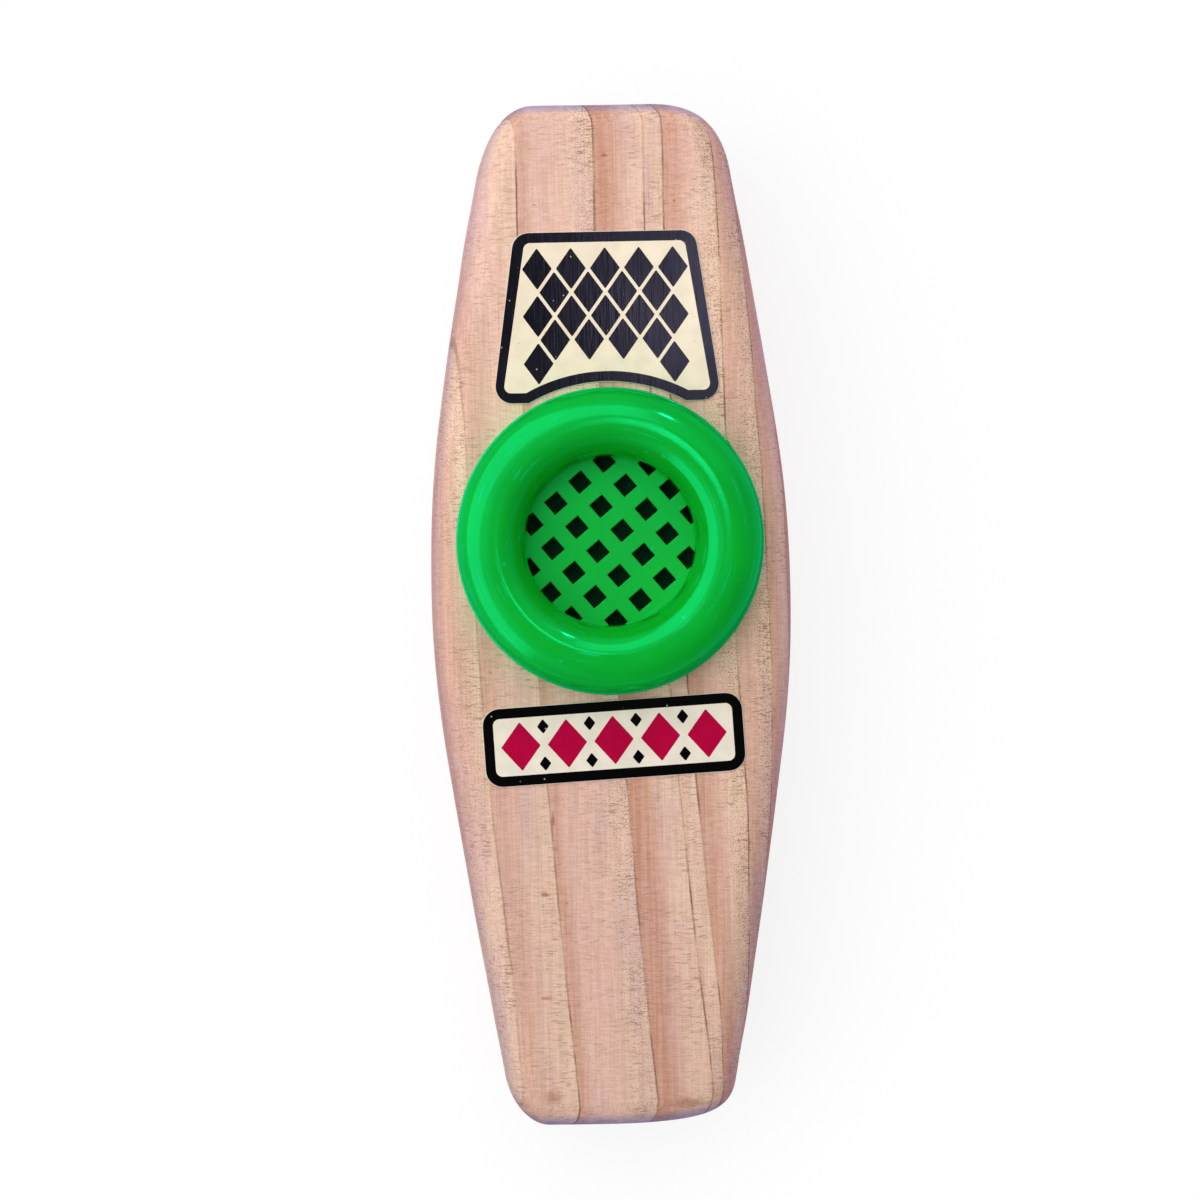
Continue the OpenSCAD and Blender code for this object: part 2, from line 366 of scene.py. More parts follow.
def trim(shape: Sequence[Flat], border: Sequence[Flat]) -> list[Flat]:
    """Trims a shape to the inside of a convex border drawn anticlockwise.

    Args:
        shape: The convex shape's corners.
        border: The border's corners.

    Returns:
        The corners that are left, which may be none.
    """
    left = list(shape)
    for i, a in enumerate(border):
        b = border[(i + 1) % len(border)]

        def inside(p: Flat) -> float:
            """Gives the side of the border's edge that a point lies on."""
            return (b[0] - a[0]) * (p[1] - a[1]) - (b[1] - a[1]) * (p[0] - a[0])

        kept: list[Flat] = []
        for k, p in enumerate(left):
            q = left[k - 1]
            here, there = inside(p), inside(q)
            if here * there < 0:
                s = there / (there - here)
                kept.append((q[0] + s * (p[0] - q[0]), q[1] + s * (p[1] - q[1])))
            if here >= 0:
                kept.append(p)
        left = kept
    return left


def area(path: Sequence[Flat]) -> float:
    """Gives the area inside a path drawn anticlockwise."""
    return sum(p[0] * q[1] - q[0] * p[1] for p, q in zip(path, [*path[1:], *path[:1]])) / 2


def circle(mid: Flat, r: float, steps: int) -> list[Flat]:
    """Gives the points of a circle, anticlockwise."""
    turns = [math.tau * k / steps for k in range(steps)]
    return [(mid[0] + r * math.cos(a), mid[1] + r * math.sin(a)) for a in turns]


def swung(place: Flat, turn_deg: float, mid: Flat = (0.0, 0.0)) -> Flat:
    """Turns a place about zero, and then moves it.

    Args:
        place: The place.
        turn_deg: The turn, anticlockwise.
        mid: Where zero goes.

    Returns:
        The new place.
    """
    x, y = place
    c, s = math.cos(math.radians(turn_deg)), math.sin(math.radians(turn_deg))
    return (mid[0] + x * c - y * s, mid[1] + x * s + y * c)


def arc(mid: Flat, r: float, start_deg: float, end_deg: float, steps: int) -> list[Flat]:
    """Gives the points of an arc from one direction to another."""
    turns = [math.radians(start_deg + (end_deg - start_deg) * k / steps) for k in range(steps + 1)]
    return [(mid[0] + r * math.cos(a), mid[1] + r * math.sin(a)) for a in turns]


def pierced(
    name: str, paths: Sequence[Sequence[Flat]], mid_z: float, half: float, edge: float, crease_deg: float
) -> Piece:
    """Makes a plate with holes and with rounded rims.

    Args:
        name: The piece's name.
        paths: The outline first, then the holes.
        mid_z: Level of the plate's middle.
        half: Half of its thickness.
        edge: Radius of all its rims.
        crease_deg: The least angle that is left sharp.

    Returns:
        The pierced plate.
    """
    curve = bpy.data.curves.new(name, "CURVE")
    curve.dimensions = "2D"
    curve.fill_mode = "BOTH"
    curve.extrude = (half - edge) * MM
    curve.bevel_depth = edge * MM
    curve.bevel_resolution = 2
    curve.offset = -edge * MM
    for path in paths:
        spline = curve.splines.new("POLY")
        spline.points.add(len(path) - 1)
        for point, (x, y) in zip(spline.points, path):
            point.co = (x * MM, y * MM, 0.0, 1.0)
        spline.use_cyclic_u = True
    drawn = linked(name + "_drawing", curve)
    mesh = bpy.data.meshes.new_from_object(drawn.evaluated_get(bpy.context.evaluated_depsgraph_get()))
    drop(drawn)
    bpy.data.curves.remove(curve)
    close_up(mesh)
    mesh.transform(Matrix.Translation((0.0, 0.0, mid_z * MM)))
    finish_mesh(mesh, crease_deg)
    return linked(name, mesh)


@dataclass(frozen=True)
class Ridge:
    """A thread's ridge that climbs round a wall, thinning out at both ends."""

    root_r: float
    crest_r: float
    start_z: float
    start_deg: float
    turns: float
    pitch: float = 2.0
    root_w: float = 0.9
    crest_w: float = 0.4
    sink: float = 0.15
    runout: float = 0.15
    dip: float = 0.1
    steps: int = 120
    crease_deg: float = 30.0

    def build(self, name: str, mid: Flat) -> Piece:
        """Sweeps the ridge round its axis.

        Args:
            name: The piece's name.
            mid: Where the axis stands.

        Returns:
            The ridge, sunk a little into its wall.
        """
        depth = self.crest_r - self.root_r
        sunk = self.root_r - math.copysign(self.sink, depth)
        rings: list[list[Solid]] = []
        for i in range(self.steps + 1):
            s = i / self.steps
            a = math.radians(self.start_deg + 360 * self.turns * s)
            z = self.start_z + self.pitch * self.turns * s
            rise = min(1.0, s / self.runout, (1 - s) / self.runout)
            r = self.root_r + depth * ((1 + self.dip) * rise - self.dip)
            ring = [(sunk, -self.root_w), (r, -self.crest_w), (r, self.crest_w), (sunk, self.root_w)]
            rings.append([(mid[0] + p * math.cos(a), mid[1] + p * math.sin(a), z + w / 2) for p, w in ring])
        return stacked(name, rings, self.crease_deg)


# Node work


@dataclass(frozen=True)
class Cloud:
    """Noise between two limits, with so many lumps to a millimetre each way."""

    per_mm: Solid
    start: float
    end: float
    low: float = 0.0
    high: float = 1.0
    detail: float = 2.0


@dataclass(frozen=True)
class Dots:
    """Scattered dots: how many to a millimetre, each dot's share of its cell, and the share of cells."""

    per_mm: float
    width: float
    amount: float


class Wiring:
    """Places and joins the nodes of one tree."""

    def __init__(self, tree: bpy.types.NodeTree) -> None:
        """Starts on a tree."""
        self.tree = tree

    def add(self, kind: str, **settings: object) -> bpy.types.Node:
        """Places a node and sets its options.

        Args:
            kind: The node's type.
            settings: Its options, by their names.

        Returns:
            The node.
        """
        node = self.tree.nodes.new(kind)
        for name, value in settings.items():
            setattr(node, name, value)
        return node

    def feed(self, socket: Socket, value: Feed) -> None:
        """Joins an output to a socket, or sets the socket's own value.

        Args:
            socket: The input.
            value: The output or the value.
        """
        if isinstance(value, Socket):
            self.tree.links.new(value, socket)
        else:
            socket.default_value = value

    def fed(self, node: bpy.types.Node, *values: Feed) -> bpy.types.Node:
        """Feeds a node's inputs in their order.

        Args:
            node: The node.
            values: What its inputs get.

        Returns:
            The node.
        """
        for socket, value in zip(node.inputs, values):
            self.feed(socket, value)
        return node

    def math(self, operation: str, *values: Feed, clamp: bool = False) -> Socket:
        """Works out numbers."""
        node = self.add("ShaderNodeMath", operation=operation, use_clamp=clamp)
        return self.fed(node, *values).outputs[0]

    def plus(self, first: Feed, second: Feed) -> Socket:
        """Adds two numbers."""
        return self.math("ADD", first, second)

    def minus(self, first: Feed, second: Feed) -> Socket:
        """Takes the second number from the first."""
        return self.math("SUBTRACT", first, second)

    def times(self, first: Feed, second: Feed) -> Socket:
        """Multiplies two numbers."""
        return self.math("MULTIPLY", first, second)

    def square(self, value: Feed) -> Socket:
        """Multiplies a number by itself."""
        return self.math("POWER", value, 2.0)

    def size(self, value: Feed) -> Socket:
        """Drops a number's sign."""
        return self.math("ABSOLUTE", value)

    def most(self, first: Feed, second: Feed) -> Socket:
        """Takes the greater of two numbers."""
        return self.math("MAXIMUM", first, second)

    def distance(self, across: Feed, along: Feed) -> Socket:
        """Gives how far from zero a place lies."""
        return self.math("SQRT", self.plus(self.square(across), self.square(along)))

    def vector(self, operation: str, *values: Feed) -> Socket:
        """Works out vectors, or a vector's length or product."""
        node = self.fed(self.add("ShaderNodeVectorMath", operation=operation), *values)
        return node.outputs["Value" if operation in {"LENGTH", "DOT_PRODUCT"} else "Vector"]

    def scaled(self, value: Feed, factor: Feed) -> Socket:
        """Multiplies a place or a colour by one number.

        Args:
            value: The place or the colour.
            factor: The number.

        Returns:
            The product.
        """
        node = self.fed(self.add("ShaderNodeVectorMath", operation="SCALE"), value)
        self.feed(node.inputs["Scale"], factor)
        return node.outputs["Vector"]

    def parts(self, place: Feed) -> tuple[Socket, ...]:
        """Splits a place into X, Y and Z."""
        return tuple(self.fed(self.add("ShaderNodeSeparateXYZ"), place).outputs)

    def gather(self, x: Feed, y: Feed, z: Feed) -> Socket:
        """Makes a place of X, Y and Z."""
        return self.fed(self.add("ShaderNodeCombineXYZ"), x, y, z).outputs[0]

    def noise(self, place: Feed, per_mm: Solid, detail: float = 2.0) -> Socket:
        """Gives noise about one half, with so many lumps to a millimetre each way.

        Args:
            place: The place.
            per_mm: The lumps to a millimetre.
            detail: How fine its crumbs are.

        Returns:
            The noise.
        """
        node = self.add("ShaderNodeTexNoise")
        self.feed(node.inputs["Vector"], self.vector("MULTIPLY", place, per_mm))
        node.inputs["Scale"].default_value = 1.0
        node.inputs["Detail"].default_value = detail
        return node.outputs[0]

    def span(self, value: Feed, start: Feed, end: Feed, low: float = 0.0, high: float = 1.0) -> Socket:
        """Passes smoothly from low to high while a value goes from start to end."""
        node = self.add("ShaderNodeMapRange", interpolation_type="SMOOTHSTEP")
        return self.fed(node, value, start, end, low, high).outputs[0]

    def cloud(self, place: Feed, look: Cloud) -> Socket:
        """Gives noise between two limits."""
        lumps = self.noise(place, look.per_mm, look.detail)
        return self.span(lumps, look.start, look.end, look.low, look.high)

    def blend(self, share: Feed, first: Feed, second: Feed, way: str = "MIX") -> Socket:
        """Mixes two colours.

        Args:
            share: How much of the second counts.
            first: The first colour.
            second: The second colour.
            way: How they are mixed.

        Returns:
            The mixed colour.
        """
        node = self.add("ShaderNodeMix", data_type="RGBA", blend_type=way)
        self.feed(node.inputs[0], share)
        for socket, colour in ((node.inputs[6], first), (node.inputs[7], second)):
            self.feed(socket, colour if isinstance(colour, Socket) else (*colour, 1.0))
        return node.outputs[2]


class Effect(Enum):
    """The surface effects that several finishes share."""

    FIBRE = "wood_fibre"
    GROWTH_RING = "growth_ring"
    SPECKS = "specks"
    RESIN_FLECK = "resin_fleck"
    PINE_FIGURE = "pine_figure"
    MOULD_SKIN = "mould_skin"


@dataclass(frozen=True)
class GrowthRing:
    """One ring of the timber, placed by where its dark edge meets the front at the outlet end."""

    edge: float
    gain: float
    width: float
    band: float
    line: float
    dust: float = 0.0


@dataclass(frozen=True)
class RingSection:
    """The section through every ring: where its band, its line and the wood before it begin and end."""

    band_start: Flat = (-0.15, 0.1)
    band_fade: Flat = (0.35, 1.5)
    line_half: Flat = (0.03, 0.19)
    before_start: Flat = (-4.4, -0.4)
    before_end: Flat = (0.0, 0.5)


@dataclass
class RingMasks:
    """What all the rings leave at a place: bands, lines, the wood before them, and the dust in it."""

    band: Feed = 0.0
    line: Feed = 0.0
    before: Feed = 0.0
    dusty: Feed = 0.0


@dataclass(frozen=True)
class Fleck:
    """A small brown mark on the front of the timber."""

    place: Flat
    reach: Flat
    strength: float


@dataclass(frozen=True)
class Meal:
    """Fine grains on the wood: their noise's limits, their shares in dust and elsewhere, and their colour."""

    limits: Flat
    in_dust: float
    anywhere: float
    colour: Colour


@dataclass(frozen=True)
class Fibre:
    """The wood's fibre: lumps to a millimetre each way, and how much each kind counts."""

    fine: Solid = (4.5, 0.12, 4.5)
    broad: Solid = (0.9, 0.018, 0.9)
    cross: Solid = (0.70, 3.6, 0.70)
    fine_share: float = 0.55
    cross_share: float = 0.45
    cross_height: float = 0.5


@dataclass(frozen=True)
class FigureShares:
    """How much each mark of the timber's figure counts, in its colour or in its relief."""

    yellow_patch: float = 0.45
    yellow_before: float = 0.65
    lilac: float = 0.6
    wisp: float = 0.65
    wisp_before: float = 0.25
    wisp_in_dust: float = 0.35
    wisp_anywhere: float = 0.45
    speck_in_band: float = 0.7
    speck_anywhere: float = 0.1
    band_height: float = 0.8
    wisp_depth: float = 0.9
    line_depth: float = 0.3


@dataclass(frozen=True)
class Timber:
    """The board that the body was cut from."""

    pink_wood: Colour = (0.878, 0.552, 0.462)
    yellow_wood: Colour = (0.915, 0.632, 0.482)
    lilac_wood: Colour = (0.800, 0.525, 0.492)
    late_wood: Colour = (0.665, 0.335, 0.236)
    line_wood: Colour = (0.215, 0.070, 0.034)
    wisp_wood: Colour = (0.280, 0.150, 0.090)
    fleck_wood: Colour = (0.420, 0.150, 0.060)
    speck_wood: Colour = (0.330, 0.055, 0.045)
    pale_grain: Colour = (1.050, 1.060, 1.075)
    dark_grain: Colour = (0.925, 0.870, 0.800)
    grain_limits: Flat = (0.38, 0.62)
    broad_limits: Flat = (0.3, 0.7)
    broad_shade: Flat = (0.96, 1.04)
    # Painted shade: the wood darkens toward the mouth end.
    mouth_end_shade: float = 0.84
    mouth_shade_limits: Flat = (-62.0, 42.0)
    drift: float = 3.9e-4
    drift_from: float = 60.0
    pith: Flat = (60.0, -20.0)
    front: float = WOOD_TOP
    strays: tuple[tuple[Solid, float], ...] = (
        ((0.05, 0.014, 0.05), 1.1),
        ((0.3, 0.05, 0.3), 0.35),
        ((0.9, 0.9, 0.9), 0.16),
    )
    yellow_patch: Cloud = Cloud((0.14, 0.06, 0.14), 0.40, 0.60, detail=3.0)
    lilac_streak: Cloud = Cloud((0.30, 0.045, 0.30), 0.50, 0.66)
    band_streak: Cloud = Cloud((1.6, 0.035, 1.6), 0.32, 0.62, low=0.70)
    line_break: Cloud = Cloud((0.2, 0.13, 0.2), 0.38, 0.64, low=0.24, detail=3.0)
    wisp: Cloud = Cloud((0.85, 5.0, 0.85), 0.54, 0.64, detail=3.0)
    wisp_zone: Cloud = Cloud((0.30, 0.16, 0.30), 0.36, 0.62, low=0.10)
    dust_zone: Cloud = Cloud((0.25, 0.2, 0.25), 0.3, 0.6, low=0.35)
    specks: Dots = Dots(0.45, 0.12, 0.25)
    sway_per_mm: Solid = (0.5, 0.5, 0.5)
    sway: float = 0.35
    meal_per_mm: Solid = (5.0, 7.4, 5.0)
    meal_detail: float = 0.5
    meals: tuple[Meal, ...] = (
        Meal((0.44, 0.31), 0.62, 0.17, (0.180, 0.100, 0.058)),
        Meal((0.60, 0.72), 0.45, 0.15, (0.940, 0.730, 0.480)),
    )
    fleck_per_mm: Solid = (1.3, 2.6, 1.3)
    fleck_limits: Flat = (0.7, 1.4)
    fibre: Fibre = Fibre()
    section: RingSection = RingSection()
    shares: FigureShares = FigureShares()
    rings: tuple[GrowthRing, ...] = (
        GrowthRing(-22.5, 0.70, 3.0, 0.55, 0.00),
        GrowthRing(-18.9, 1.24, 2.4, 0.50, 0.50, 0.4),
        GrowthRing(-11.2, 1.00, 1.5, 0.68, 0.90),
        GrowthRing(-1.35, 1.05, 3.4, 1.00, 0.75, 0.9),
        GrowthRing(5.06, 1.20, 0.5, 0.15, 1.00),
        GrowthRing(7.50, 1.12, 2.6, 0.75, 0.95, 0.3),
        GrowthRing(14.3, 0.90, 2.8, 0.38, 0.85, 0.9),
        GrowthRing(19.0, 0.90, 2.2, 0.60, 0.75, 1.0),
        GrowthRing(24.0, 0.97, 2.6, 0.80, 0.70),
        GrowthRing(30.5, 0.97, 2.2, 0.65, 0.60),
        GrowthRing(37.0, 0.97, 3.0, 0.80, 0.70),
        GrowthRing(45.0, 0.97, 2.6, 0.70, 0.60),
        GrowthRing(52.0, 0.97, 2.6, 0.70, 0.60),
    )
    flecks: tuple[Fleck, ...] = (
        Fleck((-9.1, -35.3), (1.0, 0.45), 0.8),
        Fleck((-9.1, -48.4), (1.0, 0.35), 0.6),
        Fleck((0.2, 58.1), (0.7, 0.35), 0.9),
        Fleck((0.3, 48.0), (0.6, 0.30), 0.7),
        Fleck((-7.9, -25.8), (0.35, 1.3), 0.8),
        Fleck((-8.8, 52.0), (0.5, 0.25), 0.5),
        Fleck((-12.6, -20.5), (1.2, 0.30), 0.5),
        Fleck((-8.5, -61.0), (1.8, 1.5), 0.45),
        Fleck((8.6, -62.0), (3.2, 1.1), 0.50),
    )


@dataclass(frozen=True)
class MouldSkin:
    """The skin of a round moulding: marks along its flow, peel, hair scratches and nicks, and where painted
    shade falls in its funnel.
    """

    mid: Flat = CAP_MID
    mm_per_radian: float = 6.0
    flow_per_mm: Solid = (2.2, 0.10, 2.2)
    hair_per_mm: Solid = (4.0, 0.22, 4.0)
    peel_per_mm: Solid = (0.35, 0.35, 0.35)
    nicks: Dots = Dots(0.45, 0.16, 0.16)
    hair_limits: Flat = (0.61, 0.70)
    peel_limits: Flat = (0.42, 0.60)
    # Painted shade: the radii over which the funnel's shade fades out, from the throat upward.
    funnel_shade_limits: Flat = (10.8, 13.4)
    flow_height: float = 0.35
    peel_height: float = 1.6
    scratch_depth: float = 0.35
    nick_depth: float = 0.6
    scratch_dull: float = 0.2
    peel_dull: float = 0.06


class Effects:
    """The shared effects, each built once as a node group with named inputs and outputs."""

    def __init__(self, timber: Timber, skin: MouldSkin) -> None:
        """Builds every effect.

        Args:
            timber: The board whose figure is drawn.
            skin: The skin of the round mouldings.
        """
        self.timber = timber
        self.skin = skin
        self.trees: dict[Effect, bpy.types.NodeTree] = {}
        self._specks()
        self._fibre()
        self._growth_ring()
        self._resin_fleck()
        self._pine_figure()
        self._mould_skin()

    def place(self, wires: Wiring, effect: Effect, **values: Feed) -> bpy.types.NodeOutputs:
        """Places an effect in a material.

        Args:
            wires: The material's wiring.
            effect: The effect.
            values: What its inputs get, by their names.

        Returns:
            The effect's outputs.
        """
        node = wires.add("ShaderNodeGroup", node_tree=self.trees[effect])
        for name, value in values.items():
            wires.feed(node.inputs[name], value)
        return node.outputs

    def dots(self, wires: Wiring, place: Feed, look: Dots) -> Socket:
        """Places scattered dots.

        Args:
            wires: The material's wiring.
            place: The place.
            look: How the dots look.

        Returns:
            The dots' mask.
        """
        sizes = {"Per mm": look.per_mm, "Width": look.width, "Amount": look.amount}
        return self.place(wires, Effect.SPECKS, Place=place, **sizes)["Mask"]

    def _open(
        self, effect: Effect, inputs: dict[str, float | None], outputs: Sequence[str]
    ) -> tuple[Wiring, bpy.types.NodeOutputs, bpy.types.NodeInputs]:
        """Opens a group with its sockets.

        Args:
            effect: The effect to build.
            inputs: Each input's name with its value, or None for a place.
            outputs: The outputs' names; one called Color is a colour.

        Returns:
            The group's wiring, its inner inputs and its inner outputs.
        """
        tree = bpy.data.node_groups.new(effect.value, "ShaderNodeTree")
        for name, value in inputs.items():
            kind = "NodeSocketVector" if value is None else "NodeSocketFloat"
            socket = tree.interface.new_socket(name=name, in_out="INPUT", socket_type=kind)
            if value is not None:
                socket.default_value = value
        for name in outputs:
            kind = "NodeSocketColor" if name == "Color" else "NodeSocketFloat"
            tree.interface.new_socket(name=name, in_out="OUTPUT", socket_type=kind)
        self.trees[effect] = tree
        wires = Wiring(tree)
        return wires, wires.add("NodeGroupInput").outputs, wires.add("NodeGroupOutput").inputs

    def _specks(self) -> None:
        """Scattered dots, full over their core and fading to their rim, in a share of the cells."""
        wires, given, out = self._open(
            Effect.SPECKS, {"Place": None, "Per mm": 1.0, "Width": 0.2, "Amount": 0.5}, ["Mask"]
        )
        cells = wires.add("ShaderNodeTexVoronoi", feature="F1")
        wires.feed(cells.inputs["Vector"], given["Place"])
        wires.feed(cells.inputs["Scale"], given["Per mm"])
        core = wires.times(given["Width"], DOT_CORE)
        dot = wires.span(cells.outputs["Distance"], core, given["Width"], 1.0, 0.0)
        chosen = wires.math("LESS_THAN", wires.parts(cells.outputs["Color"])[0], given["Amount"])
        wires.feed(out["Mask"], wires.times(dot, chosen))

    def _fibre(self) -> None:
        """Fibre along Y: a fine shade, a broader one, and the ridges that a fingertip feels."""
        look = self.timber.fibre
        outputs = ["Fine", "Broad", "Height"]
        wires, given, out = self._open(Effect.FIBRE, {"Place": None, "Relief": 1.0}, outputs)
        fine = wires.noise(given["Place"], look.fine, 3.0)
        broad = wires.noise(given["Place"], look.broad)
        cross = wires.noise(given["Place"], look.cross)
        shade = wires.plus(wires.times(fine, look.fine_share), wires.times(cross, look.cross_share))
        wires.feed(out["Fine"], shade)
        wires.feed(out["Broad"], broad)
        height = wires.plus(fine, wires.times(cross, look.cross_height))
        wires.feed(out["Height"], wires.times(height, given["Relief"]))

    def _growth_ring(self) -> None:
        """One ring: the dark band behind its edge, the thin line on it, and the dusty wood before it."""
        section = self.timber.section
        wires, given, out = self._open(
            Effect.GROWTH_RING,
            {"Across": 0.0, "Drift": 0.0, "Gain": 1.0, "Edge": 0.0, "Width": 2.0},
            ["Band", "Line", "Before"],
        )
        moved = wires.minus(given["Across"], wires.times(given["Gain"], given["Drift"]))
        past = wires.minus(moved, given["Edge"])
        limits = [wires.times(given["Width"], share) for share in section.band_fade]
        fade = wires.span(past, *limits, 1.0, 0.0)
        wires.feed(out["Band"], wires.times(fade, wires.span(past, *section.band_start)))
        wires.feed(out["Line"], wires.span(wires.size(past), *section.line_half, 1.0, 0.0))
        begun = wires.span(past, *section.before_start)
        wires.feed(out["Before"], wires.times(begun, wires.span(past, *section.before_end, 1.0, 0.0)))

    def _resin_fleck(self) -> None:
        """One soft-edged mark on the front face."""
        wires, given, out = self._open(
            Effect.RESIN_FLECK, {"Place": None, "X": 0.0, "Y": 0.0, "Reach X": 1.0, "Reach Y": 1.0}, ["Mask"]
        )
        x, y, z = wires.parts(given["Place"])
        across = wires.math("DIVIDE", wires.minus(x, given["X"]), given["Reach X"])
        along = wires.math("DIVIDE", wires.minus(y, given["Y"]), given["Reach Y"])
        away = wires.distance(across, along)
        rough = wires.noise(given["Place"], self.timber.fleck_per_mm)
        spot = wires.span(wires.plus(away, rough), *self.timber.fleck_limits, 1.0, 0.0)
        wires.feed(out["Mask"], wires.times(spot, wires.math("GREATER_THAN", z, self.timber.front / 2)))

    def _pine_figure(self) -> None:
        """The board's whole figure: rings about a pith to the right, fibre, dashes, dust, flecks, and painted
        shade toward the mouth end.
        """
        timber, shares = self.timber, self.timber.shares
        wires, given, out = self._open(Effect.PINE_FIGURE, {"Place": None}, ["Color", "Height"])
        place = given["Place"]
        spot = wires.parts(place)
        masks = self._ring_masks(wires, place, spot)
        fibre = self.place(wires, Effect.FIBRE, Place=place)
        colour = self._ring_colour(wires, place, masks)
        sway = wires.minus(wires.noise(place, timber.sway_per_mm, 1.0), 0.5)
        swayed = wires.gather(spot[0], wires.plus(spot[1], wires.times(sway, timber.sway)), spot[2])
        wisp = self._wisps(wires, place, swayed, masks)
        colour = wires.blend(wires.times(wisp, shares.wisp), colour, timber.wisp_wood)
        colour = self._mealed(wires, place, swayed, masks, colour)
        colour = self._marked(wires, place, masks, colour)
        fine = wires.span(fibre["Fine"], *timber.grain_limits)
        grain = wires.blend(fine, timber.pale_grain, timber.dark_grain)
        colour = wires.vector("MULTIPLY", colour, grain)
        broad = wires.span(fibre["Broad"], *timber.broad_limits, *timber.broad_shade)
        # Painted shade: darker toward the mouth end.
        mouth = wires.span(spot[1], *timber.mouth_shade_limits, timber.mouth_end_shade, 1.0)
        wires.feed(out["Color"], wires.scaled(colour, wires.times(broad, mouth)))
        height = wires.plus(fibre["Height"], wires.times(masks.band, shares.band_height))
        height = wires.minus(height, wires.times(wisp, shares.wisp_depth))
        wires.feed(out["Height"], wires.minus(height, wires.times(masks.line, shares.line_depth)))

    def _ring_masks(self, wires: Wiring, place: Feed, spot: Sequence[Feed]) -> RingMasks:
        """Draws the rings about the pith, drifting along the board and straying a little.

        Args:
            wires: The figure's wiring.
            place: The place on the board.
            spot: Its X, Y and Z.

        Returns:
            The strongest mark of each kind that any ring leaves there.
        """
        timber = self.timber
        x, y, z = spot
        drift = wires.times(wires.square(wires.minus(timber.drift_from, y)), timber.drift)
        side = wires.minus(timber.pith[0], wires.minus(x, drift))
        rise = wires.minus(z, timber.pith[1])
        square = wires.plus(wires.square(side), wires.square(rise))
        square = wires.minus(square, (timber.front - timber.pith[1]) ** 2)
        lift = wires.minus(side, wires.math("SQRT", wires.most(square, 1.0)))
        across = wires.plus(x, lift)
        for per_mm, reach in timber.strays:
            stray = wires.minus(wires.noise(place, per_mm), 0.5)
            across = wires.plus(across, wires.times(stray, reach))

        masks = RingMasks()
        for ring in timber.rings:
            sizes = {"Gain": ring.gain, "Edge": ring.edge, "Width": ring.width}
            made = self.place(wires, Effect.GROWTH_RING, Across=across, Drift=drift, **sizes)
            masks.band = wires.most(masks.band, wires.times(made["Band"], ring.band))
            masks.line = wires.most(masks.line, wires.times(made["Line"], ring.line))
            masks.before = wires.most(masks.before, made["Before"])
            if ring.dust:
                masks.dusty = wires.most(masks.dusty, wires.times(made["Before"], ring.dust))
        return masks

    def _ring_colour(self, wires: Wiring, place: Feed, masks: RingMasks) -> Socket:
        """Colours the wood between the rings, their streaky bands and their broken lines.

        Args:
            wires: The figure's wiring.
            place: The place on the board.
            masks: The rings' masks, whose bands get their streaks here.

        Returns:
            The colour.
        """
        timber, shares = self.timber, self.timber.shares
        patch = wires.times(wires.cloud(place, timber.yellow_patch), shares.yellow_patch)
        share = wires.math("ADD", patch, wires.times(masks.before, shares.yellow_before), clamp=True)
        colour = wires.blend(share, timber.pink_wood, timber.yellow_wood)
        lilac = wires.times(wires.cloud(place, timber.lilac_streak), shares.lilac)
        colour = wires.blend(lilac, colour, timber.lilac_wood)
        masks.band = wires.times(masks.band, wires.cloud(place, timber.band_streak))
        colour = wires.blend(masks.band, colour, timber.late_wood)
        line = wires.times(masks.line, wires.cloud(place, timber.line_break))
        return wires.blend(line, colour, timber.line_wood)

    def _wisps(self, wires: Wiring, place: Feed, swayed: Feed, masks: RingMasks) -> Socket:
        """Draws the short dashes across the grain, most of them before a ring.

        Args:
            wires: The figure's wiring.
            place: The place on the board.
            swayed: The same place, moved a little.
            masks: The rings' masks.

        Returns:
            The dashes' mask.
        """
        timber, shares = self.timber, self.timber.shares
        wisp = wires.cloud(swayed, timber.wisp)
        where = wires.cloud(place, timber.wisp_zone)
        near = wires.times(masks.before, shares.wisp_before)
        near = wires.plus(near, wires.times(masks.dusty, shares.wisp_in_dust))
        return wires.times(wisp, wires.times(where, wires.plus(near, shares.wisp_anywhere)))

    def _mealed(self, wires: Wiring, place: Feed, swayed: Feed, masks: RingMasks, colour: Feed) -> Socket:
        """Strews dark and pale grains over the wood, most of them in its dusty parts.

        Args:
            wires: The figure's wiring.
            place: The place on the board.
            swayed: The same place, moved a little.
            masks: The rings' masks.
            colour: The wood's colour so far.

        Returns:
            The colour with its grains.
        """
        timber = self.timber
        meal = wires.noise(swayed, timber.meal_per_mm, timber.meal_detail)
        dusty = wires.times(masks.dusty, wires.cloud(place, timber.dust_zone))
        for kind in timber.meals:
            grains = wires.span(meal, *kind.limits)
            grains = wires.times(grains, wires.plus(wires.times(dusty, kind.in_dust), kind.anywhere))
            colour = wires.blend(grains, colour, kind.colour)
        return colour

    def _marked(self, wires: Wiring, place: Feed, masks: RingMasks, colour: Feed) -> Socket:
        """Sets the small red specks and the brown flecks on the wood.

        Args:
            wires: The figure's wiring.
            place: The place on the board.
            masks: The rings' masks.
            colour: The wood's colour so far.

        Returns:
            The colour with its marks.
        """
        timber, shares = self.timber, self.timber.shares
        specks = self.dots(wires, place, timber.specks)
        amount = wires.plus(wires.times(masks.band, shares.speck_in_band), shares.speck_anywhere)
        colour = wires.blend(wires.times(specks, amount), colour, timber.speck_wood)
        for fleck in timber.flecks:
            sizes = dict(zip(("X", "Y", "Reach X", "Reach Y"), (*fleck.place, *fleck.reach)))
            mark = self.place(wires, Effect.RESIN_FLECK, Place=place, **sizes)["Mask"]
            colour = wires.blend(wires.times(mark, fleck.strength), colour, timber.fleck_wood)
        return colour

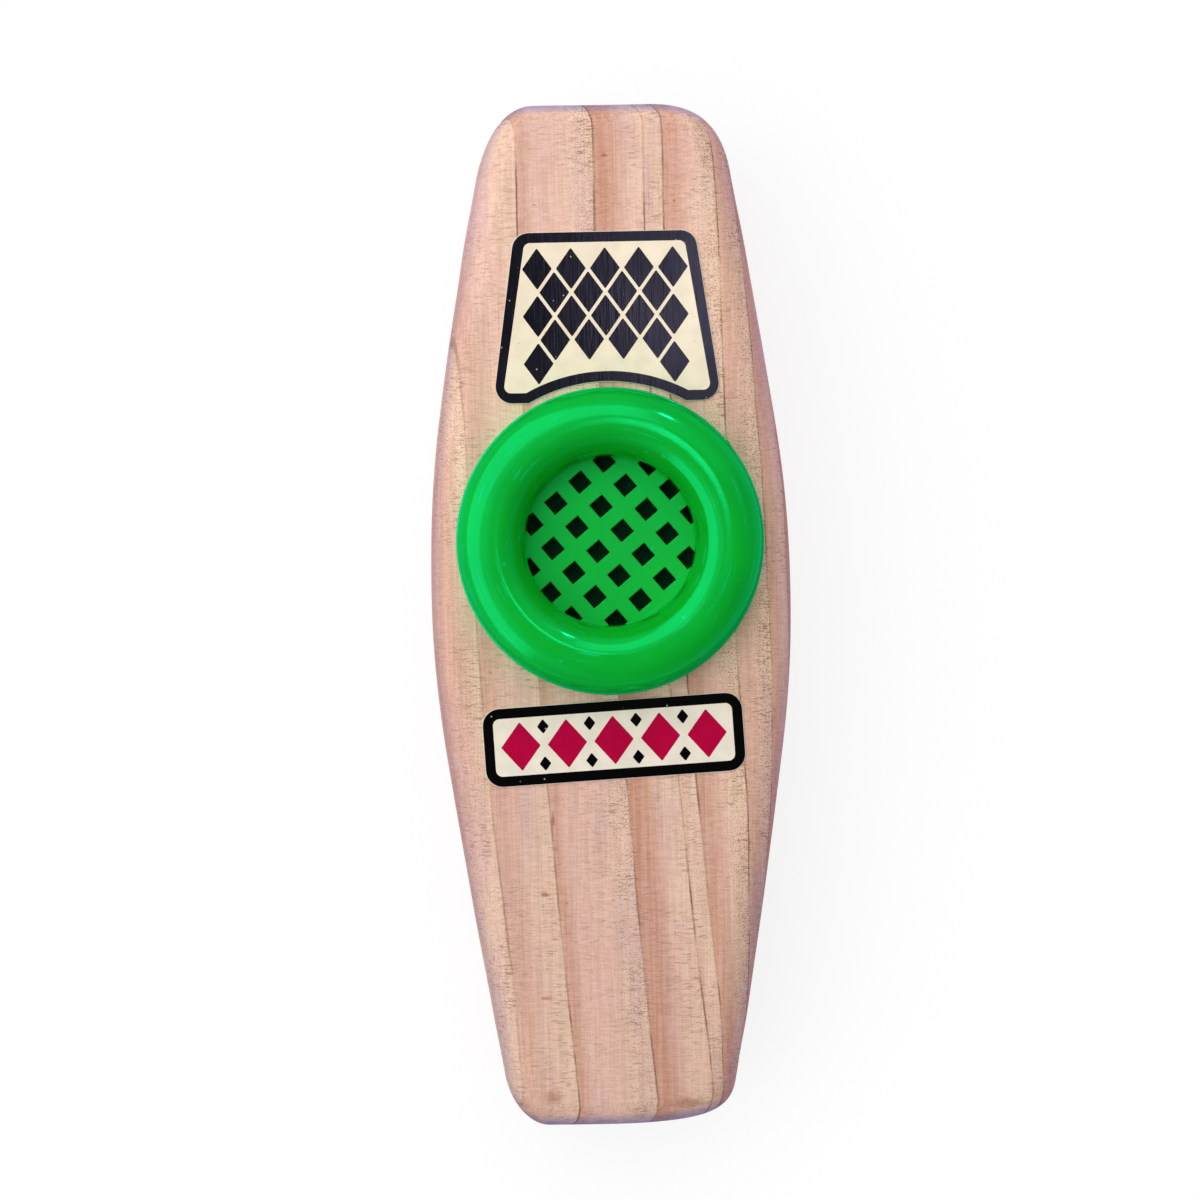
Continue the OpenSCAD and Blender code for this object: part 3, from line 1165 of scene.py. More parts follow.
    def _mould_skin(self) -> None:
        """The skin of a round moulding: rings left by its flow, hair scratches, small nicks, and a mask of
        painted shade down its funnel.
        """
        skin = self.skin
        wires, given, out = self._open(
            Effect.MOULD_SKIN, {"Place": None, "Wear": 1.0}, ["Height", "Dull", "Nick", "Scratch", "Inside"]
        )
        x, y, z = wires.parts(wires.vector("SUBTRACT", given["Place"], (*skin.mid, 0.0)))
        radius = wires.distance(x, y)
        turn = wires.math("ARCTAN2", y, x)
        polar = wires.gather(radius, wires.times(turn, skin.mm_per_radian), z)
        flow = wires.noise(polar, skin.flow_per_mm)
        hair = wires.noise(polar, skin.hair_per_mm)
        peel = wires.noise(given["Place"], skin.peel_per_mm)
        nick = self.dots(wires, given["Place"], skin.nicks)
        scratch = wires.times(wires.span(hair, *skin.hair_limits), wires.span(peel, *skin.peel_limits))
        worn = wires.times(scratch, given["Wear"])
        height = wires.plus(wires.times(flow, skin.flow_height), wires.times(peel, skin.peel_height))
        height = wires.minus(height, wires.times(worn, skin.scratch_depth))
        wires.feed(out["Height"], wires.minus(height, wires.times(nick, skin.nick_depth)))
        dull = wires.plus(wires.times(worn, skin.scratch_dull), wires.times(peel, skin.peel_dull))
        wires.feed(out["Dull"], dull)
        wires.feed(out["Nick"], wires.times(nick, given["Wear"]))
        wires.feed(out["Scratch"], worn)
        # A mask for painted shade, full at the throat and gone partway up the funnel.
        wires.feed(out["Inside"], wires.span(radius, *skin.funnel_shade_limits, 1.0, 0.0))


def new_material(name: str) -> tuple[Material, Wiring, bpy.types.Node, Socket]:
    """Starts a material.

    Args:
        name: The material's name.

    Returns:
        The material, its wiring, its shader, and the place on the object in millimetres.
    """
    material = bpy.data.materials.new(name)
    material.use_nodes = True
    wires = Wiring(material.node_tree)
    shader = material.node_tree.nodes["Principled BSDF"]
    place = wires.scaled(wires.add("ShaderNodeTexCoord").outputs["Object"], 1 / MM)
    return material, wires, shader, place


def relief(wires: Wiring, shader: bpy.types.Node, height: Feed, strength: float, depth: float) -> Socket:
    """Gives a shader its small relief.

    Args:
        wires: The material's wiring.
        shader: The shader.
        height: The relief's height.
        strength: How much of it counts.
        depth: How deep it goes, in millimetres.

    Returns:
        The bumped normal.
    """
    bump = wires.add("ShaderNodeBump")
    bump.inputs["Strength"].default_value = strength
    bump.inputs["Distance"].default_value = depth * MM
    wires.feed(bump.inputs["Height"], height)
    wires.feed(shader.inputs["Normal"], bump.outputs["Normal"])
    return bump.outputs["Normal"]


@dataclass(frozen=True)
class PineFinish:
    """Sanded bare pine: the board's figure, with painted bluish shade over its rounded edges and ends,
    darkest on the left-hand side.
    """

    name: str
    shade: float = 1.0
    roughness: float = 0.72
    depth: float = 0.05
    left_edge_shade: Colour = (0.68, 0.69, 0.86)
    right_edge_shade: Colour = (0.95, 0.88, 1.14)
    end_edge_shade: Colour = (0.67, 0.81, 1.18)
    wall_share: float = 0.35
    wall_limits: Flat = (0.10, 0.45)
    steep_limits: Flat = (0.95, 0.35)
    end_limits: Flat = (0.45, 0.85)
    side_limits: Flat = (-0.4, 0.4)
    height_limits: Flat = (0.2, 1.6)
    roughness_swing: Flat = (0.08, -0.06)
    specular: float = 0.15
    bump: float = 0.5

    def make(self, effects: Effects) -> Material:
        """Builds the material from the shared effects.

        Args:
            effects: The shared effects.

        Returns:
            The material.
        """
        material, wires, shader, place = new_material(self.name)
        figure = effects.place(wires, Effect.PINE_FIGURE, Place=place)
        across, along, up = wires.parts(wires.add("ShaderNodeTexCoord").outputs["Normal"])
        up = wires.size(up)
        # Painted shade: the rounded edges and ends are tinted darker and bluer, the left-hand side most.
        rounded = wires.span(up, *self.wall_limits, self.wall_share, 1.0)
        slope_shade = wires.times(wires.span(up, *self.steep_limits), rounded)
        end = wires.times(wires.span(wires.size(along), *self.end_limits), rounded)
        side_edge_shade = wires.blend(wires.span(across, *self.side_limits), self.left_edge_shade, self.right_edge_shade)
        colour = wires.blend(slope_shade, figure["Color"], side_edge_shade, "MULTIPLY")
        colour = wires.blend(end, colour, self.end_edge_shade, "MULTIPLY")
        wires.feed(shader.inputs["Base Color"], wires.scaled(colour, self.shade))
        dull = [self.roughness + swing for swing in self.roughness_swing]
        wires.feed(shader.inputs["Roughness"], wires.span(figure["Height"], *self.height_limits, *dull))
        shader.inputs["Specular IOR Level"].default_value = self.specular
        relief(wires, shader, figure["Height"], self.bump, self.depth)
        return material


@dataclass(frozen=True)
class MouldedFinish:
    """Moulded plastic with its flow marks, a little wear, painted shade down its funnel, and a gloss tinted
    by the plastic.
    """

    name: str
    colour: Colour
    worn_colour: Colour = (0.010, 0.560, 0.230)
    glint: Colour = (0.010, 0.96, 0.42)
    roughness: float = 0.11
    index: float = 1.65
    wear: float = 1.0
    depth: float = 0.009
    inner_shade: float = 0.16
    clouding: Cloud = Cloud((0.12, 0.12, 0.12), 0.3, 0.7, 0.94, 1.05)
    nick_share: float = 0.5
    scratch_share: float = 0.6
    bump: float = 1.0

    def make(self, effects: Effects) -> Material:
        """Builds the material from the shared effects.

        Args:
            effects: The shared effects.

        Returns:
            The material.
        """
        material, wires, shader, place = new_material(self.name)
        skin = effects.place(wires, Effect.MOULD_SKIN, Place=place, Wear=self.wear)
        cloud = wires.cloud(place, self.clouding)
        marks = wires.times(skin["Nick"], self.nick_share)
        marks = wires.plus(marks, wires.times(skin["Scratch"], self.scratch_share))
        colour = wires.blend(marks, self.colour, self.worn_colour)
        # Painted shade darkens the funnel toward the throat.
        shade = wires.minus(cloud, wires.times(skin["Inside"], self.inner_shade))
        wires.feed(shader.inputs["Base Color"], wires.scaled(colour, shade))
        dull = wires.plus(skin["Dull"], self.roughness)
        wires.feed(shader.inputs["Roughness"], dull)
        shader.inputs["Specular IOR Level"].default_value = 0.0
        bumped = relief(wires, shader, skin["Height"], self.bump, self.depth)

        gloss = wires.add("ShaderNodeBsdfGlossy")
        gloss.inputs["Color"].default_value = (*self.glint, 1.0)
        wires.feed(gloss.inputs["Roughness"], dull)
        wires.feed(gloss.inputs["Normal"], bumped)
        share = wires.add("ShaderNodeFresnel")
        share.inputs["IOR"].default_value = self.index
        wires.feed(share.inputs["Normal"], bumped)
        both = wires.add("ShaderNodeMixShader")
        wires.fed(both, share.outputs[0], shader.outputs[0], gloss.outputs[0])
        wires.feed(material.node_tree.nodes["Material Output"].inputs["Surface"], both.outputs[0])
        return material


@dataclass(frozen=True)
class VinylFinish:
    """Printed vinyl, pressed so hard on the wood that the grain shows through."""

    name: str
    ink: Colour
    roughness: float = 0.10
    depth: float = 0.018
    dust: float = 0.25
    specular: float = 0.13
    gloss_tint: Colour = (1.0, 1.0, 1.0)
    dust_colour: Colour = (0.62, 0.55, 0.45)
    dust_share: float = 0.8
    dust_per_mm: float = 0.9
    dust_width: float = 0.12
    mottling: Cloud = Cloud((0.4, 0.4, 0.4), 0.3, 0.7, 0.95, 1.05, 3.0)
    haze: Cloud = Cloud((0.16, 0.1, 0.16), 0.35, 0.65, 0.0, 0.07, 3.0)
    waves_per_mm: Solid = (1.4, 0.22, 1.4)
    fibre_share: float = 0.6
    bump: float = 0.5

    def make(self, effects: Effects) -> Material:
        """Builds the material from the shared effects.

        Args:
            effects: The shared effects.

        Returns:
            The material.
        """
        material, wires, shader, place = new_material(self.name)
        fibre = effects.place(wires, Effect.FIBRE, Place=place, Relief=1.0)
        specks = effects.dots(wires, place, Dots(self.dust_per_mm, self.dust_width, self.dust))
        mottle = wires.cloud(place, self.mottling)
        colour = wires.blend(wires.times(specks, self.dust_share), self.ink, self.dust_colour)
        wires.feed(shader.inputs["Base Color"], wires.scaled(colour, mottle))
        shader.inputs["Specular IOR Level"].default_value = self.specular
        shader.inputs["Specular Tint"].default_value = (*self.gloss_tint, 1.0)
        dull = wires.cloud(place, self.haze)
        wires.feed(shader.inputs["Roughness"], wires.plus(dull, self.roughness))
        waves = wires.noise(place, self.waves_per_mm)
        height = wires.plus(wires.times(fibre["Height"], self.fibre_share), waves)
        relief(wires, shader, height, self.bump, self.depth)
        return material


@dataclass(frozen=True)
class SoftFinish:
    """Rubber or film: one dark colour, clouded, with fine wrinkles."""

    name: str
    colour: Colour
    roughness: float
    wrinkle_per_mm: float
    depth: float
    specular: float = 0.3
    wrinkle_ratio: float = 0.6
    wrinkle_limits: Flat = (0.3, 0.7)
    shade_swing: Flat = (0.85, 1.15)
    roughness_swing: Flat = (-0.05, 0.08)
    dust: Dots = Dots(1.2, 0.1, 0.2)
    dust_share: float = 0.3
    dust_colour: Colour = (0.30, 0.28, 0.25)
    bump: float = 0.6

    def make(self, effects: Effects) -> Material:
        """Builds the material from the shared effects.

        Args:
            effects: The shared effects.

        Returns:
            The material.
        """
        material, wires, shader, place = new_material(self.name)
        rate = self.wrinkle_per_mm
        wrinkle = wires.noise(place, (rate, rate * self.wrinkle_ratio, rate), 3.0)
        specks = effects.dots(wires, place, self.dust)
        colour = wires.blend(wires.times(specks, self.dust_share), self.colour, self.dust_colour)
        shade = wires.span(wrinkle, *self.wrinkle_limits, *self.shade_swing)
        wires.feed(shader.inputs["Base Color"], wires.scaled(colour, shade))
        dull = [self.roughness + swing for swing in self.roughness_swing]
        wires.feed(shader.inputs["Roughness"], wires.span(wrinkle, *self.wrinkle_limits, *dull))
        shader.inputs["Specular IOR Level"].default_value = self.specular
        relief(wires, shader, wrinkle, self.bump, self.depth)
        return material


@dataclass(frozen=True)
class FloorFinish:
    """A white studio floor that keeps the object's shadow."""

    name: str = "studio_floor"
    lit_share: float = 0.22
    glow: float = 0.81
    bounce: Colour = (0.38, 0.33, 0.46)

    def make(self) -> Material:
        """Builds the floor's material.

        Returns:
            The material, white to the camera, in gloss and through glass, and a dim mauve light on the wood.
        """
        material = bpy.data.materials.new(self.name)
        material.use_nodes = True
        wires = Wiring(material.node_tree)
        material.node_tree.nodes.remove(material.node_tree.nodes["Principled BSDF"])
        out = material.node_tree.nodes["Material Output"]
        rays = wires.add("ShaderNodeLightPath").outputs
        seen = wires.most(rays["Is Camera Ray"], rays["Is Glossy Ray"])
        seen = wires.most(seen, rays["Is Transmission Ray"])
        lit = wires.add("ShaderNodeBsdfDiffuse")
        wires.feed(lit.inputs["Color"], wires.blend(seen, self.bounce, (self.lit_share,) * 3))
        glow = wires.add("ShaderNodeEmission")
        wires.feed(glow.inputs["Strength"], wires.times(seen, self.glow))
        both = wires.fed(wires.add("ShaderNodeAddShader"), lit.outputs[0], glow.outputs[0])
        wires.feed(out.inputs["Surface"], both.outputs[0])
        return material


# Sub-assemblies


class Corner(Enum):
    """The body's corners, seen from the front with the outlet end up: signs of X and Y."""

    OUTLET_RIGHT = (1, 1)
    OUTLET_LEFT = (-1, 1)
    MOUTH_LEFT = (-1, -1)
    MOUTH_RIGHT = (1, -1)


@dataclass(frozen=True)
class Rounding:
    """A hand-sanded corner: how far it reaches across the end and along the side, and how full it is."""

    across: float
    along: float
    fullness: float


@dataclass
class WoodenBody:
    """The pine block with its airway, its chamber and the recess for the socket."""

    length: float = 130.0
    width: float = 46.0
    thickness: float = WOOD_TOP
    belly_shift: float = 3.2
    belly_r: float = 145.0
    side_lean_deg: float = 8.7
    side_edge: float = 4.5
    outlet_edge: float = 3.0
    mouth_edge: float = 3.7
    airway_r: float = 5.5
    airway_z: float = 11.0
    airway_chamfer: float = 0.8
    chamber_r: float = 10.5
    chamber_floor: float = 5.0
    recess_r: float = 15.05
    recess_floor: float = 18.0
    cap_mid: Flat = CAP_MID
    overrun: float = 1.0
    face_inset: float = 0.5
    waver: float = 0.05
    waver_rate: Flat = (0.3, 0.11)
    ripple: float = 0.03
    ripple_rate: float = 0.31
    bore_slack: float = 0.05
    recess_slack: float = 0.1
    front_slack: float = 0.01
    side_steps: int = 70
    end_steps: int = 10
    edge_steps: int = 14
    bore_steps: int = 128
    corners: dict[Corner, Rounding] = field(
        default_factory=lambda: {
            Corner.OUTLET_RIGHT: Rounding(9.0, 8.4, 0.70),
            Corner.OUTLET_LEFT: Rounding(5.8, 10.2, 0.64),
            Corner.MOUTH_LEFT: Rounding(4.5, 6.4, 0.58),
            Corner.MOUTH_RIGHT: Rounding(14.5, 5.0, 0.76),
        }
    )
    sanding: tuple[Solid, ...] = (
        (-65.0, -0.65, -0.60),
        (-58.0, -0.45, -0.25),
        (-50.0, -0.30, 0.05),
        (-36.0, -0.10, 0.20),
        (-15.0, -0.08, 0.05),
        (3.2, 0.00, 0.00),
        (30.0, 0.30, 0.00),
        (46.0, 0.10, -0.05),
        (56.0, -0.30, -0.30),
        (65.0, -0.60, -0.50),
    )

    def half_width(self, y: float, side: int) -> float:
        """Gives the distance from the middle to a side at a place along the body.

        Args:
            y: The place along the body.
            side: The sign of X on that side.

        Returns:
            The distance, with what sanding by hand took off or left on.
        """
        lean = math.radians(self.side_lean_deg)
        away = abs(y - self.belly_shift)
        bend = self.belly_r * math.sin(lean)
        if away <= bend:
            drawn = self.width / 2 - self.belly_r + math.sqrt(self.belly_r**2 - away**2)
        else:
            drawn = self.width / 2 - self.belly_r * (1 - math.cos(lean)) - (away - bend) * math.tan(lean)
        column = 2 if side > 0 else 1
        for low, high in zip(self.sanding, self.sanding[1:]):
            if low[0] <= y <= high[0]:
                s = (y - low[0]) / (high[0] - low[0])
                drawn += low[column] + (high[column] - low[column]) * s * s * (3 - 2 * s)
                break
        return drawn

    def corner(self, which: Corner, steps: int = 18) -> list[Flat]:
        """Draws a corner from the side to the end.

        Args:
            which: The corner.
            steps: The steps over it.

        Returns:
            The corner's points.
        """
        sx, sy = which.value
        shape = self.corners[which]
        end_y = self.length / 2
        side_y = end_y - shape.along
        side = Vector((self.half_width(sy * side_y, sx), side_y))
        end = Vector((self.half_width(sy * end_y, sx) - shape.across, end_y))
        tip = Vector((self.half_width(sy * end_y, sx), end_y))
        first, second = side.lerp(tip, shape.fullness), end.lerp(tip, shape.fullness)
        points: list[Flat] = []
        for k in range(steps + 1):
            t = k / steps
            p = side * (1 - t) ** 3 + first * 3 * t * (1 - t) ** 2 + second * 3 * t**2 * (1 - t) + end * t**3
            points.append((sx * p.x, sy * p.y))
        return points

    def outline(self) -> list[Flat]:
        """Draws the body's outline, anticlockwise from the mouth end's right-hand side.

        Returns:
            The outline's points.
        """

        def run(start: Flat, end: Flat, side: int) -> list[Flat]:
            """Gives the points between two corners.

            Args:
                start: The first corner's last point.
                end: The second corner's first point.
                side: The sign of X along a side, or 0 along an end.

            Returns:
                The points, without the two given.
            """
            steps = self.side_steps if side else self.end_steps
            found = []
            for k in range(1, steps):
                y = start[1] + (end[1] - start[1]) * k / steps
                x = side * self.half_width(y, side) if side else start[0] + (end[0] - start[0]) * k / steps
                found.append((x, y))
            return found

        right_top = self.corner(Corner.OUTLET_RIGHT)
        left_top = self.corner(Corner.OUTLET_LEFT)[::-1]
        left_low = self.corner(Corner.MOUTH_LEFT)
        right_low = self.corner(Corner.MOUTH_RIGHT)[::-1]
        path = [*right_low, *run(right_low[-1], right_top[0], 1), *right_top]
        path += [*run(right_top[-1], left_top[0], 0), *left_top, *run(left_top[-1], left_low[0], -1)]
        return [*path, *left_low, *run(left_low[-1], right_low[0], 0)]

    def edge_at(self, place: Flat, out: Flat) -> float:
        """Gives the radius of the rounded edge, uneven as sanding by hand leaves it.

        Args:
            place: A point of the outline.
            out: Its outward direction.

        Returns:
            The radius.
        """
        end_edge = self.outlet_edge if place[1] > 0 else self.mouth_edge
        even = end_edge + (self.side_edge - end_edge) * out[0] ** 2
        waver = self.waver * math.sin(place[1] * self.waver_rate[1] + place[0] * self.waver_rate[0])
        return even * (1 + waver + self.ripple * math.sin(place[1] * self.ripple_rate))

    def block(self) -> Piece:
        """Makes the block with its edges rounded over, front and back.

        Returns:
            The block.
        """
        path = self.outline()
        out = facing(path)
        tilts = [math.pi / 2 * k / self.edge_steps for k in range(self.edge_steps + 1)]

        def level(tilt: float, front: bool, extra: float = 0.0) -> list[Solid]:
            """Gives one ring of the block.

            Args:
                tilt: Its place over the rounded edge.
                front: Whether the edge is the front's.
                extra: How much farther in it lies.

            Returns:
                The ring's points.
            """
            ring = []
            for p, o in zip(path, out):
                r = self.edge_at(p, o)
                inset, rise = r * (1 - math.cos(tilt)) + extra, r * (1 - math.sin(tilt))
                z = self.thickness - rise if front else rise
                ring.append((p[0] - inset * o[0], p[1] - inset * o[1], z))
            return ring

        rings = [level(tilts[-1], False, self.face_inset), *[level(t, False) for t in reversed(tilts)]]
        rings += [*[level(t, True) for t in tilts], level(tilts[-1], True, self.face_inset)]
        return stacked("body_block", rings)

    def airway(self) -> Piece:
        """Makes the drill that bores the airway, with its chamfered mouths.

        Returns:
            The drill, along Y.
        """
        half, wide = self.length / 2, self.airway_r + self.airway_chamfer
        profile = [
            (0.0, -half - self.overrun),
            (wide + self.overrun, -half - self.overrun),
            (wide, -half),
            (self.airway_r, -half + self.airway_chamfer),
            (self.airway_r, half - self.airway_chamfer),
            (wide, half),
            (wide + self.overrun, half + self.overrun),
            (0.0, half + self.overrun),
        ]
        drill = turned("airway_drill", profile, (0.0, 0.0), self.bore_steps)
        for vertex in drill.data.vertices:
            x, y, z = vertex.co
            vertex.co = (x, -z, y + self.airway_z * MM)
        drill.data.update()
        return drill

    def build(self) -> Piece:
        """Makes the drilled body.

        Returns:
            The body.
        """
        body = self.block()
        cut(body, self.airway())
        top = self.thickness + self.overrun
        profile = [
            (0.0, self.chamber_floor),
            (self.chamber_r, self.chamber_floor),
            (self.chamber_r, self.recess_floor),
            (self.recess_r, self.recess_floor),
            (self.recess_r, top),
            (0.0, top),
        ]
        cut(body, turned("chamber_cutter", profile, self.cap_mid, self.bore_steps))
        body.name = "pine_body"
        return body

    def bored(self, middle: Vector) -> bool:
        """Tells whether a place, in millimetres, lies on a bored wall.

        Args:
            middle: The middle of a face.

        Returns:
            True on a bored wall.
        """
        in_airway = math.hypot(middle.x, middle.z - self.airway_z) < self.airway_r + self.bore_slack
        between_ends = abs(middle.y) < self.length / 2 - self.recess_slack
        to_cap = math.hypot(middle.x - self.cap_mid[0], middle.y - self.cap_mid[1])
        near_cap = to_cap < self.recess_r + self.recess_slack
        inside = self.chamber_floor - self.recess_slack < middle.z < self.thickness - self.front_slack
        return (in_airway and between_ends) or (near_cap and inside)

    def dress(self, body: Piece, effects: Effects) -> None:
        """Gives the body its sanded outside, and its bored inside painted darker as shade.

        Args:
            body: The body.
            effects: The shared effects.
        """
        body.data.materials.append(PineFinish("sanded_pine").make(effects))
        # Painted shade: the bored walls get a darker copy of the pine.
        inside = PineFinish("bored_pine", shade=0.62, roughness=0.82, depth=0.12)
        body.data.materials.append(inside.make(effects))
        for face in body.data.polygons:
            face.material_index = int(self.bored(face.center / MM))

    def assemble(self, effects: Effects) -> None:
        """Builds, dresses and hands over the body.

        Args:
            effects: The shared effects.
        """
        body = self.build()
        self.dress(body, effects)
        hand_over(body, Body.KAZOO, Slot.PINE, "wooden_body")


class Moulding:
    """A moulding of the green plastic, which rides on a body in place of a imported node."""

    body: ClassVar[Body]
    node: ClassVar[str]

    def build(self) -> Piece:
        """Makes the moulding."""
        raise NotImplementedError

    def assemble(self, green: Material) -> None:
        """Builds, dresses and hands over the moulding.

        Args:
            green: Its material.
        """
        piece = self.build()
        piece.data.materials.append(green)
        hand_over(piece, self.body, Slot.GREEN, self.node)


@dataclass
class CapSocket(Moulding):
    """The threaded insert that is glued in the wood."""

    body: ClassVar[Body] = Body.KAZOO
    node: ClassVar[str] = "cap_socket"
    mid: Flat = CAP_MID
    bore_r: float = 13.4
    tube_r: float = 15.0
    ledge_r: float = 11.0
    flange_r: float = 19.45
    low: float = 18.0
    ledge_top: float = 19.5
    wood_top: float = WOOD_TOP
    flange_top: float = 22.9
    collar_top: float = 26.8
    thread_depth: float = 0.6
    slot_r: float = 14.4
    slot_w: float = 2.4
    slot_floor: float = 21.2
    edge: float = 0.15
    flange_edge: float = 0.3
    collar_edge: float = 0.25
    slot_edge: float = 0.2
    thread_rise: float = 0.8
    thread_turns: float = 1.15

    def build(self) -> Piece:
        """Makes the socket with its thread and its slot.

        Returns:
            The socket.
        """
        profile = draw(
            [
                Bend(self.ledge_r, self.low, self.edge),
                Bend(self.tube_r, self.low, self.edge),
                Bend(self.tube_r, self.wood_top),
                Bend(self.flange_r, self.wood_top),
                Bend(self.flange_r, self.flange_top, self.flange_edge),
                Bend(self.tube_r, self.flange_top),
                Bend(self.tube_r, self.collar_top, self.collar_edge),
                Bend(self.bore_r, self.collar_top, self.collar_edge),
                Bend(self.bore_r, self.ledge_top),
                Bend(self.ledge_r, self.ledge_top, self.edge),
            ]
        )
        shell = turned("socket_shell", profile, self.mid)
        half, end, edge = self.slot_w / 2, self.slot_r, self.slot_edge
        side = draw([Bend(0, -half), Bend(end, -half, edge), Bend(end, half, edge), Bend(0, half)])
        levels = (self.slot_floor, self.collar_top + 1)
        tool = [[(x + self.mid[0], y + self.mid[1], z) for x, y in side] for z in levels]
        cut(shell, stacked("slot_tool", tool))
        crest_r, start_z = self.tube_r + self.thread_depth, self.flange_top + self.thread_rise
        ridge = Ridge(self.tube_r, crest_r, start_z, 0.0, self.thread_turns)
        return join("socket_insert", [shell, ridge.build("socket_thread", self.mid)])


@dataclass
class ScrewCap(Moulding):
    """The round cap: a full crest, a funnel down to the grille, and a thread inside."""

    body: ClassVar[Body] = Body.CAP
    node: ClassVar[str] = "screw_cap"
    mid: Flat = CAP_MID
    outer_r: float = 19.1
    throat_r: float = 10.7
    nose_r: float = 13.2
    channel_r: float = 15.8
    nose_low: float = 22.8
    rim_low: float = 22.9
    channel_top: float = 27.2
    crest: float = 29.5
    crest_r: float = 14.8
    shoulder: Flat = (4.2, 3.75)
    lip_mid: float = 14.4
    lip_r: float = 3.0
    blend_deg: float = 45.0
    groove_mid: float = 11.95
    gate_deg: float = 39.0
    gate_r: float = 0.9
    gate_reach: float = 0.4
    gate_h: float = 1.2
    nose_edge: float = 0.15
    rim_edge: float = 0.3
    channel_edge: float = 0.3
    mouth_edge: float = 0.1
    groove_stem: float = 0.3
    groove_head: float = 0.5
    groove_h: float = 1.2
    thread_depth: float = 0.6
    thread_rise: float = 1.3
    thread_start_deg: float = -90.0
    thread_turns: float = 0.9
    crest_steps: int = 22
    lip_steps: int = 12
    funnel_steps: int = 16
    segments: int = 256
    gate_segments: int = 40

    def profile(self) -> list[Flat]:
        """Draws the cap's section, from the rim up over the crest and down the funnel.

        Returns:
            The section's points.
        """
        foot = self.crest - self.shoulder[1]
        curve = [
            (self.crest_r + self.shoulder[0] * math.cos(a), foot + self.shoulder[1] * math.sin(a))
            for a in (math.pi / 2 * k / self.crest_steps for k in range(self.crest_steps))
        ]
        lip = (self.lip_mid, self.crest - self.lip_r)
        lean = math.radians(self.blend_deg)
        wide = (lip[0] - self.lip_r * math.sin(lean) - self.throat_r) / (1 - math.sin(lean))
        funnel = (self.throat_r + wide, lip[1] - (wide - self.lip_r) * math.cos(lean))
        curve += arc(lip, self.lip_r, 90, 90 + self.blend_deg, self.lip_steps)
        curve += arc(funnel, wide, 90 + self.blend_deg, 180, self.funnel_steps)[1:]
        head, stem = self.groove_head, self.groove_stem
        undercut, roof = self.nose_low + head, self.nose_low + self.groove_h
        low = draw(
            [
                Bend(self.throat_r, self.nose_low, self.nose_edge),
                Bend(self.groove_mid - stem, self.nose_low),
                Bend(self.groove_mid - stem, undercut),
                Bend(self.groove_mid - head, undercut),
                Bend(self.groove_mid - head, roof),
                Bend(self.groove_mid + head, roof),
                Bend(self.groove_mid + head, undercut),
                Bend(self.groove_mid + stem, undercut),
                Bend(self.groove_mid + stem, self.nose_low),
                Bend(self.nose_r, self.nose_low, self.nose_edge),
                Bend(self.nose_r, self.channel_top, self.channel_edge),
                Bend(self.channel_r, self.channel_top, self.channel_edge),
                Bend(self.channel_r, self.rim_low, self.mouth_edge),
                Bend(self.outer_r, self.rim_low, self.rim_edge),
                Bend(self.outer_r, foot),
                Bend(self.throat_r, foot),
            ]
        )
        return [*curve, *low[:-2]]

    def gate(self) -> Piece:
        """Makes the stub of the moulding's gate.

        Returns:
            The stub.
        """
        away = self.outer_r + self.gate_reach - self.gate_r
        turn = math.radians(self.gate_deg)
        spot = (self.mid[0] + away * math.cos(turn), self.mid[1] + away * math.sin(turn))
        r, low, high = self.gate_r, self.rim_low, self.rim_low + self.gate_h
        corners = [Bend(0, low), Bend(r, low, self.nose_edge), Bend(r, high, self.rim_edge), Bend(0, high)]
        profile = draw(corners)
        return turned("cap_gate", profile, spot, self.gate_segments)

    def build(self) -> Piece:
        """Makes the cap as one moulding.

        Returns:
            The cap.
        """
        crest_r, start_z = self.channel_r - self.thread_depth, self.rim_low + self.thread_rise
        ridge = Ridge(self.channel_r, crest_r, start_z, self.thread_start_deg, self.thread_turns)
        shell = turned("cap_shell", self.profile(), self.mid, self.segments)
        return join("cap_moulding", [shell, ridge.build("cap_thread", self.mid), self.gate()])


